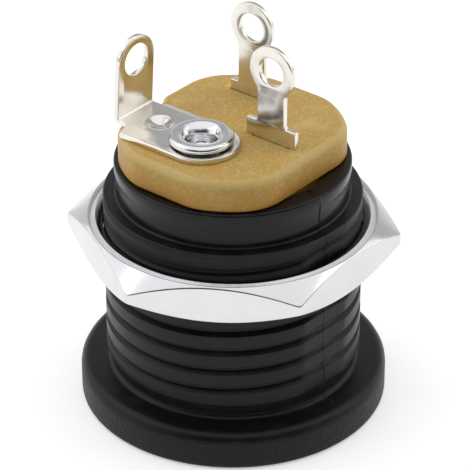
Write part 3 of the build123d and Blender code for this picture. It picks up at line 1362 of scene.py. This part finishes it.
@dataclass
class Insulator:
    """The laminate cap with its spigot, slots, pockets and rivet hole. Millimetres."""

    foot: float = PLAN.rim
    top: float = PLAN.cap_top
    radius: float = 5.07
    half_x: float = 4.25
    half_y: float = 4.82
    corner_round: float = 2.4
    edge_round: float = 0.4
    edge_steps: int = 7
    foot_round: float = 0.08
    cut_x: float = -3.98
    cut_start_y: float = 0.25
    cut_end_y: float = -0.1
    cut_lead: float = 0.65
    cut_round: float = 0.3
    cut_steps: int = 4
    spigot_radius: float = 4.35
    spigot_foot: float = PLAN.spigot_foot
    spigot_trim: float = 0.3
    slot_half_width: float = 0.145
    slot_end_round: float = 0.06
    pin_slot_half: float = 1.0
    sleeve_slot_half: float = 1.22
    dimple_pocket_radius: float = 0.67
    dimple_pocket_depth: float = 0.25
    head_pocket_radius: float = 1.0
    head_pocket_depth: float = 0.4
    mouth_round: float = 0.04
    columns: int = 180
    hole_columns: int = 40
    pocket_columns: int = 32
    spigot_columns: int = 120
    sharp: float = 40.0

    def outline(self, inward: float) -> Loop:
        """The cap's outline: a circle cut by four flats, with rounded corners, and cut back below the fold.

        Args:
            inward: How far inside the outline the loop lies.

        Returns:
            The loop, anticlockwise.
        """
        core = self.radius - self.corner_round
        core_x, core_y = self.half_x - self.corner_round, self.half_y - self.corner_round
        reach = self.corner_round - inward
        loop: Loop = []
        for i in range(self.columns):
            turn = 2 * math.pi * (i + 0.5) / self.columns
            x, y = core * math.cos(turn), core * math.sin(turn)
            if abs(x) > core_x:
                x = math.copysign(core_x, x)
                y = math.copysign(math.sqrt(core**2 - core_x**2), y)
            elif abs(y) > core_y:
                y = math.copysign(core_y, y)
                x = math.copysign(math.sqrt(core**2 - core_y**2), x)
            x, y = x + reach * math.cos(turn), y + reach * math.sin(turn)
            if i == self.columns // 2:
                loop += self.cut_back(inward)
            loop.append((x, y) if turn < math.pi else (max(x, self.cut_x + inward), y))
        return loop

    def cut_back(self, inward: float) -> Loop:
        """The soft step from the flat to the cut-back.

        Args:
            inward: How far inside the outline it lies.

        Returns:
            Its points, anticlockwise.
        """
        flat_x, cut_x = inward - self.half_x, inward + self.cut_x
        corners = [
            (flat_x, self.cut_start_y + self.cut_lead, 0),
            (flat_x, self.cut_start_y, self.cut_round),
            (cut_x, self.cut_end_y, self.cut_round),
            (cut_x, self.cut_end_y - self.cut_lead, 0),
        ]
        return softened(corners, self.cut_steps)

    def slot(self, centre: Point2, half: float) -> Loop:
        """A slot's outline.

        Args:
            centre: Its centre.
            half: Half its length.

        Returns:
            The loop, anticlockwise.
        """
        low = (centre[0] - half, centre[1] - self.slot_half_width)
        high = (centre[0] + half, centre[1] + self.slot_half_width)
        return rectangle(low, high, self.slot_end_round)

    def bore(self, solid: Solid, hole: Loop) -> tuple[Row, Row]:
        """Lines a hole that runs through the cap and the spigot.

        Args:
            solid: The mesh under construction.
            hole: The hole's outline.

        Returns:
            Its rims above and below.
        """
        mouth = solid.level(inset(hole, -self.mouth_round), self.top)
        throat = solid.level(hole, self.top - self.mouth_round)
        end = solid.level(hole, self.spigot_foot)
        solid.skin([mouth, throat, end])
        return mouth, end

    def pocket(self, solid: Solid, outline: Loop, height: float, floor: float) -> Row:
        """Lines a pocket and closes its floor.

        Args:
            solid: The mesh under construction.
            outline: The pocket's outline.
            height: The level of its rim.
            floor: The level of its floor.

        Returns:
            Its rim.
        """
        rim, base = solid.level(outline, height), solid.level(outline, floor)
        solid.bridge(rim, base)
        solid.cap([base])
        return rim

    def build(self) -> bpy.types.Object:
        """Makes the insulator.

        Returns:
            The piece.
        """
        solid = Solid()
        holes = [
            self.slot(PLAN.pin_lug, self.pin_slot_half),
            self.slot(PLAN.sleeve_lug, self.sleeve_slot_half),
            circle(PLAN.rivet, PLAN.rivet_hole_radius, self.hole_columns),
        ]
        rims = [self.bore(solid, hole) for hole in holes]
        tops, bottoms = [list(level) for level in zip(*rims)]
        dimple = circle(PLAN.dimple, self.dimple_pocket_radius, self.pocket_columns)
        head = circle((0, 0), self.head_pocket_radius, self.pocket_columns)
        tops.append(self.pocket(solid, dimple, self.top, self.top - self.dimple_pocket_depth))
        bottoms.append(self.pocket(solid, head, self.spigot_foot, self.spigot_foot + self.head_pocket_depth))

        levels = [(self.foot_round, self.foot), (0.0, self.foot + self.foot_round)]
        for step in range(self.edge_steps + 1):
            turn = math.pi / 2 * step / self.edge_steps
            inward, down = self.edge_round * (1 - math.cos(turn)), self.edge_round * (1 - math.sin(turn))
            levels.append((inward, self.top - down))
        rows = [solid.level(self.outline(inward), height) for inward, height in levels]
        solid.skin(rows)
        low_x, high_x = self.cut_x + self.spigot_trim, self.half_x - self.spigot_trim
        around = circle((0, 0), self.spigot_radius, self.spigot_columns)
        spigot = [(min(max(x, low_x), high_x), y) for x, y in around]
        root, end = solid.level(spigot, self.foot), solid.level(spigot, self.spigot_foot)
        solid.bridge(root, end)
        solid.cap([rows[0], root])
        solid.cap([end, *bottoms])
        solid.cap([rows[-1], *tops])
        piece = solid.piece("laminate_cap", TanLaminate().build(), self.sharp)
        weight_normals(piece)
        return settle(piece, Body.SOCKET, Slot.TAN_LAMINATE, "insulator")


@dataclass
class LugHead:
    """The part of an upright solder lug above the cap: shoulders, neck and ring head. Millimetres."""

    shoulder_half: float
    shoulder_height: float
    hole_height: float
    radius: float = 1.18
    neck_half: float = 0.74
    neck_blend: float = 0.5
    hole_radius: float = 0.66
    shoulder_round: float = 0.07
    root_round: float = 0.12
    corner_steps: int = 4
    blend_steps: int = 8
    crown_steps: int = 24
    hole_steps: int = 56

    def outline(self, x: float, foot: float) -> Loop:
        """The head's outline from its right shoulder's foot over the crown to the left one.

        Args:
            x: The lug's middle.
            foot: Where it stands along the blank.

        Returns:
            The points, anticlockwise.
        """
        blend_x = self.neck_half + self.neck_blend
        dip = math.sqrt((self.radius + self.neck_blend) ** 2 - blend_x**2)
        blend_turn = math.degrees(math.atan2(dip, blend_x))
        neck_top = self.hole_height - dip
        stem = [
            (self.shoulder_half, 0, 0),
            (self.shoulder_half, self.shoulder_height, self.shoulder_round),
            (self.neck_half, self.shoulder_height, self.root_round),
            (self.neck_half, neck_top, 0),
        ]
        half = softened(stem, self.corner_steps)
        half += arc((blend_x, neck_top), self.neck_blend, 180, 180 - blend_turn, self.blend_steps)[1:]
        half += arc((0, self.hole_height), self.radius, -blend_turn, 90, self.crown_steps)[1:]
        mirrored = [(-across, up) for across, up in half[-2::-1]]
        return [(x + across, foot + up) for across, up in half + mirrored]

    def hole(self, x: float, foot: float) -> Loop:
        """The eye's outline, placed as the head's outline is."""
        return circle((x, foot + self.hole_height), self.hole_radius, self.hole_steps)


def finish_lug(solid: Solid, name: str, plating: Plating, node: str) -> bpy.types.Object:
    """Plates a bent terminal and hands it to the frame.

    Args:
        solid: The bent blank.
        name: The piece's name.
        plating: Its plating.
        node: The CAD node that it stands for.

    Returns:
        The piece.
    """
    piece = solid.piece(name, plating.build(), FORMED_SHARP)
    weight_normals(piece)
    return settle(piece, Body.SOCKET, Slot.LUG_PLATING, node)


@dataclass
class PinTerminal:
    """The centre pin's lug, folded under the spigot into a foot. Millimetres."""

    x: float = PLAN.pin_lug[0]
    y: float = PLAN.pin_lug[1]
    tab_half: float = 0.95
    foot_radius: float = 0.95
    foot_hole_radius: float = 0.64
    foot_edge: float = -0.94
    foot_notch: float = -0.3
    foot_end_turn: float = 265.0
    foot_steps: int = 40
    hole_steps: int = 32
    fold_round: float = 0.15
    fold_steps: int = 10
    edge: float = 0.045
    head: LugHead = field(default_factory=lambda: LugHead(1.36, 0.82, 3.35))

    def build(self) -> bpy.types.Object:
        """Makes the lug: a flat blank, then the fold at its foot.

        Returns:
            The piece.
        """
        middle = PLAN.plate + PLAN.sheet / 2
        corners = [
            (self.foot_edge, middle, 0),
            (self.y, middle, self.fold_round + PLAN.sheet / 2),
            (self.y, PLAN.cap_top, 0),
        ]
        fold = FoldLine(softened(corners, self.fold_steps))
        stand = fold.stops[-1]
        centre = (0.0, -self.foot_edge)
        notch_turn = math.degrees(math.asin(self.foot_notch / self.foot_radius))
        left, right = self.x - self.tab_half, self.x + self.tab_half
        outline = [(left, stand), (left, self.foot_notch - self.foot_edge)]
        outline += arc(centre, self.foot_radius, notch_turn, self.foot_end_turn, self.foot_steps)
        outline += [(right, 0.0), (right, stand)]
        outline += self.head.outline(self.x, stand)
        holes = [self.head.hole(self.x, stand), circle(centre, self.foot_hole_radius, self.hole_steps)]
        solid = Solid()
        solid.plate(outline, holes, self.edge)
        solid.slice(1, fold.stops[1:-1])

        def shape(place: Vector) -> Vector:
            """Folds the blade up from the foot.

            Args:
                place: A point of the blank.

            Returns:
                Its place on the folded sheet.
            """
            if place.x < left - self.edge and place.y < stand / 2:
                return Vector((place.x, place.y + self.foot_edge, middle + place.z))
            bent = fold.at(place.y, place.z)
            return Vector((place.x, bent.x, bent.y))

        solid.bend(shape)
        return finish_lug(solid, "pin_lug", Plating.LUG, "pin_terminal")


@dataclass
class SleeveTerminal:
    """The sleeve contact: a lug that runs down as a bowed leaf in the plug way. Millimetres."""

    x: float = PLAN.sleeve_lug[0]
    y: float = PLAN.sleeve_lug[1]
    leaf_half: float = 0.85
    tip_bow: float = 0.2
    tip_height: float = 4.4
    tip_round: float = 0.3
    tip_steps: int = 4
    contact_bow: float = 0.7
    contact_height: float = 5.6
    contact_round: float = 0.5
    rest_bow: float = 0.5
    rest_foot: float = 7.4
    rest_foot_round: float = 1.5
    rest_top: float = 9.0
    root: float = 0.6
    root_round: float = 0.8
    bow_steps: int = 8
    edge: float = 0.045
    head: LugHead = field(default_factory=lambda: LugHead(1.18, 0.5, 3.39))

    def build(self) -> bpy.types.Object:
        """Makes the contact: a flat blank, then the leaf's bows.

        Returns:
            The piece.
        """
        corners = [
            (self.y - self.tip_bow, self.tip_height, 0),
            (self.y - self.contact_bow, self.contact_height, self.contact_round),
            (self.y - self.rest_bow, self.rest_foot, self.rest_foot_round),
            (self.y - self.rest_bow, self.rest_top, self.root_round),
            (self.y, PLAN.spigot_foot - self.root, self.root_round),
            (self.y, PLAN.cap_top, 0),
        ]
        fold = FoldLine(softened(corners, self.bow_steps))
        stand = fold.stops[-1]
        step = stand - (PLAN.cap_top - PLAN.spigot_foot)
        left, right = self.x - self.leaf_half, self.x + self.leaf_half
        leaf = [(left, step, 0), (left, 0, self.tip_round), (right, 0, self.tip_round), (right, step, 0)]
        outline = softened(leaf, self.tip_steps)
        outline.append((self.x + self.head.shoulder_half, step))
        outline += self.head.outline(self.x, stand)
        outline.append((self.x - self.head.shoulder_half, step))
        solid = Solid()
        solid.plate(outline, [self.head.hole(self.x, stand)], self.edge)
        solid.slice(1, fold.stops[1:-1])

        def shape(place: Vector) -> Vector:
            """Bows the leaf below the lug."""
            bent = fold.at(place.y, place.z)
            return Vector((place.x, bent.x, bent.y))

        solid.bend(shape)
        return finish_lug(solid, "sleeve_lug", Plating.LUG, "sleeve_terminal")


@dataclass
class SwitchTerminal:
    """The riveted strip with its dimple, bent up into a lug that leans inwards. Millimetres."""

    y: float = -2.32
    half_width: float = 1.68
    end_x: float = 0.17
    end_steps: int = 48
    shoulder_x: float = -3.11
    shoulder_round: float = 0.08
    notch_x: float = -3.4
    notch_round: float = 0.1
    corner_steps: int = 3
    lug_x: float = -3.92
    lug_y: float = -2.0
    lug_half: float = 1.18
    lean: float = 3.5
    hole_height: float = 2.57
    hole_radius: float = 0.74
    hole_steps: int = 56
    crown_height: float = 2.53
    crown_steps: int = 40
    bend_round: float = 0.09
    bend_steps: int = 10
    dimple_rim: float = 0.72
    dimple_floor: float = 0.1
    dimple_depth: float = 0.21
    dimple_rows: int = 12
    dimple_columns: int = 48
    edge: float = 0.05

    def fold(self, start: float) -> FoldLine:
        """The middle line of the strip and the lug.

        Args:
            start: Where it starts on X.

        Returns:
            The line, in X and Z.
        """
        half = PLAN.sheet / 2
        middle = PLAN.cap_top + half
        lean_sin, lean_cos = math.sin(math.radians(self.lean)), math.cos(math.radians(self.lean))
        back = half * (1 + lean_sin) / lean_cos
        bend_x = self.lug_x - half * lean_cos - back * lean_sin
        rise = self.crown_height + back
        corners = [
            (start, middle, 0),
            (bend_x, middle, self.bend_round + half),
            (bend_x + rise * lean_sin, middle + rise * lean_cos, 0),
        ]
        return FoldLine(softened(corners, self.bend_steps))

    def outline(self, start: float, top: float) -> Loop:
        """The flat blank's outline.

        Args:
            start: Where the blank starts on X; its length runs from there.
            top: Where the crown's arc begins along it.

        Returns:
            The points, anticlockwise.
        """
        shoulder, notch = start - self.shoulder_x, start - self.notch_x
        low, high = self.y - self.half_width, self.y + self.half_width
        lug_low, lug_high = self.lug_y - self.lug_half, self.lug_y + self.lug_half
        near = [
            (self.half_width, low, 0),
            (shoulder, low, self.shoulder_round),
            (notch, lug_low, self.notch_round),
            (top, lug_low, 0),
        ]
        far = [
            (top, lug_high, 0),
            (notch, lug_high, self.notch_round),
            (shoulder, high, self.shoulder_round),
            (self.half_width, high, 0),
        ]
        outline = arc((self.half_width, self.y), self.half_width, 90, 270, self.end_steps)[:-1]
        outline += softened(near, self.corner_steps)
        outline += arc((top, self.lug_y), self.lug_half, -90, 90, self.crown_steps)[1:]
        return outline + softened(far, self.corner_steps)[1:-1]

    def dish(self, solid: Solid, centre: Point2, height: float) -> None:
        """Adds one face of the dimple.

        Args:
            solid: The blank.
            centre: The dimple's middle on the blank.
            height: The face's level on the blank; the dimple is pressed towards larger ones.
        """
        rows = []
        for row in range(self.dimple_rows):
            share = row / (self.dimple_rows - 1)
            radius = self.dimple_rim + (self.dimple_floor - self.dimple_rim) * share
            depth = self.dimple_depth * share * share * (3 - 2 * share)
            rows.append(solid.level(circle(centre, radius, self.dimple_columns), height + depth))
        solid.skin(rows)
        solid.cap([rows[-1]])

    def build(self) -> bpy.types.Object:
        """Makes the terminal: a flat blank with its dimple, then the bend.

        Returns:
            The piece.
        """
        start = self.end_x + self.half_width
        fold = self.fold(start)
        top = fold.stops[-1]
        eye = (top + self.hole_height - self.crown_height, self.lug_y)
        rivet = (start - PLAN.rivet[0], PLAN.rivet[1])
        dimple = (start - PLAN.dimple[0], PLAN.dimple[1])
        holes = [
            circle(eye, self.hole_radius, self.hole_steps),
            circle(rivet, PLAN.rivet_hole_radius, self.end_steps),
        ]
        solid = Solid()
        formed = circle(dimple, self.dimple_rim, self.dimple_columns)
        solid.plate(self.outline(start, top), holes, self.edge, [formed])
        for height in (-PLAN.sheet / 2, PLAN.sheet / 2):
            self.dish(solid, dimple, height)
        solid.slice(0, fold.stops[1:-1])

        def shape(place: Vector) -> Vector:
            """Bends the blank up into the lug."""
            bent = fold.at(place.x, place.z)
            return Vector((bent.x, place.y, bent.y))

        solid.bend(shape)
        return finish_lug(solid, "switch_lug", Plating.STRIP, "switch_terminal")


@dataclass
class HollowRivet:
    """The strip's rivet: a hollow end rolled into a ring, a shank and a headed foot. Millimetres."""

    bore_radius: float = 0.62
    bore_depth: float = 0.9
    floor_round: float = 0.36
    flare_round: float = 0.52
    ring_radius: float = 1.44
    ring_foot: float = PLAN.cap_top + PLAN.sheet
    ring_height: float = 0.42
    ring_round: float = 0.2
    ring_foot_round: float = 0.1
    ring_gap: float = 0.11
    seat_radius: float = 0.98
    seat_round: float = 0.04
    shank_radius: float = 0.8
    shank_round: float = 0.02
    foot_radius: float = 0.97
    foot_height: float = 0.3
    foot_round: float = 0.1
    foot_top_round: float = 0.06
    round_steps: int = 14
    segments: int = 96

    def build(self) -> bpy.types.Object:
        """Makes the rivet.

        Returns:
            The piece.
        """
        foot = PLAN.plate - self.foot_height
        top = self.ring_foot + self.ring_height
        ring_low = self.ring_foot + self.ring_gap
        section = [
            (0, foot, 0),
            (self.foot_radius, foot, self.foot_round),
            (self.foot_radius, PLAN.plate, self.foot_top_round),
            (self.shank_radius, PLAN.plate, self.shank_round),
            (self.shank_radius, self.ring_foot, self.shank_round),
            (self.seat_radius, self.ring_foot, self.seat_round),
            (self.seat_radius + self.ring_gap / 2, ring_low, self.seat_round),
            (self.ring_radius, ring_low, self.ring_foot_round),
            (self.ring_radius, top, self.ring_round),
            (self.bore_radius, top, self.flare_round),
            (self.bore_radius, top - self.bore_depth, self.floor_round),
            (0, top - self.bore_depth, 0),
        ]
        solid = Solid()
        solid.lathe(softened(section, self.round_steps), self.segments, PLAN.rivet)
        piece = solid.piece("hollow_rivet", Plating.RIVET.build(), FORMED_SHARP)
        return settle(piece, Body.SOCKET, Slot.RIVET_PLATING, "terminal_rivet")


@dataclass
class CentrePin:
    """The contact for the plug's bore, with its collar and riveted tail. Millimetres."""

    radius: float = 1.05
    tip: float = 1.5
    tip_round: float = 0.6
    collar_radius: float = 1.24
    collar_height: float = 0.58
    collar_round: float = 0.05
    root_round: float = 0.04
    seat_round: float = 0.03
    tail_radius: float = 0.6
    tail_round: float = 0.02
    head_radius: float = 0.85
    head_height: float = 0.25
    head_round: float = 0.18
    round_steps: int = 7
    segments: int = 96

    def build(self) -> bpy.types.Object:
        """Makes the pin.

        Returns:
            The piece.
        """
        collar_foot = PLAN.plate - self.collar_height
        head_top = PLAN.spigot_foot + self.head_height
        section = [
            (0, self.tip, 0),
            (self.radius, self.tip, self.tip_round),
            (self.radius, collar_foot, self.root_round),
            (self.collar_radius, collar_foot, self.collar_round),
            (self.collar_radius, PLAN.plate, self.seat_round),
            (self.tail_radius, PLAN.plate, self.tail_round),
            (self.tail_radius, PLAN.spigot_foot, self.tail_round),
            (self.head_radius, PLAN.spigot_foot, self.tail_round),
            (self.head_radius, head_top, self.head_round),
            (0, head_top, 0),
        ]
        solid = Solid()
        solid.lathe(softened(section, self.round_steps), self.segments)
        piece = solid.piece("contact_pin", Plating.PIN.build(), FORMED_SHARP)
        return settle(piece, Body.SOCKET, Slot.PIN_PLATING, "centre_pin")


def dress_break_contact() -> None:
    """Gives the break contact inside the socket its plating."""
    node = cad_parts["break_contact"]
    made = Plating.LUG.build()
    for place in node.material_slots:
        place.material = made
    LOG.info("break_contact: plated as it stands")


# The studio


def direction(azimuth: float, elevation: float) -> Vector:
    """The way to a point of the sky.

    Args:
        azimuth: Degrees from +X towards +Y.
        elevation: Degrees above the floor.

    Returns:
        A unit vector.
    """
    turn, lift = math.radians(azimuth), math.radians(elevation)
    return Vector((math.cos(turn) * math.cos(lift), math.sin(turn) * math.cos(lift), math.sin(lift)))


@dataclass(frozen=True)
class Softbox:
    """A square lamp that faces the part. Directions in degrees, radiance 1 is white."""

    name: str
    azimuth: float
    elevation: float
    size: float
    radiance: float
    distance: float = 0.4
    tint: Point3 = (1, 1, 1)

    def hang(self, target: Vector) -> None:
        """Hangs the lamp.

        Args:
            target: The point that it faces.
        """
        lamp = bpy.data.lights.new(self.name, "AREA")
        lamp.size = self.size
        lamp.color = self.tint
        lamp.energy = self.radiance * math.pi * self.size**2
        way = direction(self.azimuth, self.elevation)
        holder = bpy.data.objects.new(self.name, lamp)
        holder.location = target + way * self.distance
        holder.rotation_euler = (-way).to_track_quat("-Z", "Y").to_euler()
        bpy.context.scene.collection.objects.link(holder)


@dataclass
class Studio:
    """The camera at the photograph's angle, a white floor and soft lamps. Metres and degrees."""

    target: Point3 = (0, 0, 0.007)
    camera_turn: float = -50.5
    camera_lift: float = 31.421
    camera_distance: float = 0.122355
    camera_roll: float = -0.173
    focal_pixels: float = 2711.756
    frame_pixels: float = 470.0
    target_pixel: Point2 = (233.03, 252.391)
    sensor: float = 36.0
    near_clip: float = 0.005
    floor_half: float = 3.0
    floor_gap: float = 0.00001
    floor_colour: Colour = (0.85, 0.845, 0.83, 1)
    floor_roughness: float = 0.9
    floor_glow: float = 0.42
    white: Colour = (1, 1, 1, 1)
    sky: tuple[tuple[float, Colour], ...] = (
        (0.03, (0.95, 0.945, 0.93, 1)),
        (0.3, (0.58, 0.58, 0.6, 1)),
        (0.62, (0.36, 0.365, 0.39, 1)),
    )
    front: Colour = (0.05, 0.05, 0.055, 1)
    front_limits: Point2 = (0.35, 0.8)
    lamps: tuple[Softbox, ...] = (
        Softbox("overhead_softbox", 0, 88, 0.7, 0.74),
        Softbox("left_softbox", -129, 33, 0.3, 0.64),
        Softbox("left_back_softbox", 190, 36, 0.3, 0.8),
        Softbox("right_back_softbox", 58, 33, 0.3, 0.9, tint=(1, 0.95, 0.87)),
    )

    def place_camera(self) -> None:
        """Places the camera so that the target lands on its pixel."""
        way = direction(self.camera_turn, self.camera_lift)
        centre = self.frame_pixels / 2
        pitch = math.atan((self.target_pixel[1] - centre) / self.focal_pixels)
        yaw = math.atan((centre - self.target_pixel[0]) / self.focal_pixels)
        forward = -way
        right = forward.cross(Vector((0, 0, 1))).normalized()
        above = right.cross(forward)
        forward = (forward * math.cos(yaw) + right * math.sin(yaw)).normalized()
        forward = (forward * math.cos(pitch) + above * math.sin(pitch)).normalized()
        right = forward.cross(above).normalized()
        above = right.cross(forward)
        roll = math.radians(self.camera_roll)
        right, above = (
            right * math.cos(roll) + above * math.sin(roll),
            above * math.cos(roll) - right * math.sin(roll),
        )
        lens = bpy.data.cameras.new("camera")
        lens.sensor_width = self.sensor
        lens.lens = self.focal_pixels / self.frame_pixels * self.sensor
        lens.clip_start = self.near_clip
        camera = bpy.data.objects.new("camera", lens)
        place = Vector(self.target) + way * self.camera_distance
        turned = Matrix((right, above, -forward)).transposed()
        camera.matrix_world = Matrix.Translation(place) @ turned.to_4x4()
        bpy.context.scene.collection.objects.link(camera)
        bpy.context.scene.camera = camera

    def lay_floor(self) -> None:
        """Lays a white floor that keeps the part's shadow."""
        mesh = bpy.data.meshes.new("floor")
        half, level = self.floor_half, -self.floor_gap
        corners = [(-half, -half, level), (half, -half, level), (half, half, level), (-half, half, level)]
        mesh.from_pydata(corners, [], [(0, 1, 2, 3)])
        floor = bpy.data.objects.new("floor", mesh)
        bpy.context.scene.collection.objects.link(floor)
        made = bpy.data.materials.new("white_floor")
        made.use_nodes = True
        bench = NodeBench(made.node_tree)
        shader = made.node_tree.nodes["Principled BSDF"]
        shader.inputs["Base Color"].default_value = self.floor_colour
        shader.inputs["Roughness"].default_value = self.floor_roughness
        shader.inputs["Emission Color"].default_value = self.white
        path = bench.add("ShaderNodeLightPath")
        seen = path.outputs["Is Camera Ray"]
        for kind in ("Is Glossy Ray", "Is Transmission Ray"):
            seen = bench.math("MAXIMUM", seen, path.outputs[kind])
        bench.feed(shader.inputs["Emission Strength"], bench.times(seen, self.floor_glow))
        mesh.materials.append(made)

    def light_world(self) -> None:
        """Lights the surroundings: pale at the horizon, grey above, dark in front, white in the camera."""
        world = bpy.data.worlds.new("studio")
        world.use_nodes = True
        bpy.context.scene.world = world
        bench = NodeBench(world.node_tree)
        way = bench.add("ShaderNodeTexCoord").outputs["Generated"]
        parts = bench.add("ShaderNodeSeparateXYZ")
        bench.feed(parts.inputs[0], way)
        sky = bench.add("ShaderNodeValToRGB")
        bench.feed(sky.inputs[0], parts.outputs["Z"])
        stops = sky.color_ramp.elements
        stops.remove(stops[1])
        stops[0].position, stops[0].color = self.sky[0]
        for height, colour in self.sky[1:]:
            stops.new(height).color = colour
        frontal = bench.add("ShaderNodeVectorMath", operation="DOT_PRODUCT")
        bench.feed(frontal.inputs[0], way)
        frontal.inputs[1].default_value = direction(self.camera_turn, 0)
        dark = bench.ramp(frontal.outputs["Value"], *self.front_limits)
        shaded = bench.blend(dark, sky.outputs["Color"], self.front)
        seen = bench.add("ShaderNodeLightPath").outputs["Is Camera Ray"]
        background = world.node_tree.nodes["Background"]
        bench.feed(background.inputs["Color"], bench.blend(seen, shaded, self.white))

    def build(self) -> None:
        """Sets the studio up."""
        self.place_camera()
        self.lay_floor()
        self.light_world()
        for lamp in self.lamps:
            lamp.hang(Vector(self.target))
        bpy.context.scene.view_settings.view_transform = "Standard"
        LOG.info("studio: %d lamps", len(self.lamps))


def main() -> None:
    """Builds the part's pieces in order, and then the studio."""
    logging.basicConfig(level=logging.INFO, format="%(name)s: %(message)s")
    shells = (Housing, HexNut, Insulator)
    contacts = (PinTerminal, SleeveTerminal, SwitchTerminal, HollowRivet, CentrePin)
    for assembly in (*shells, *contacts):
        assembly().build()
    dress_break_contact()
    Studio().build()


if __name__ == "__main__":
    main()
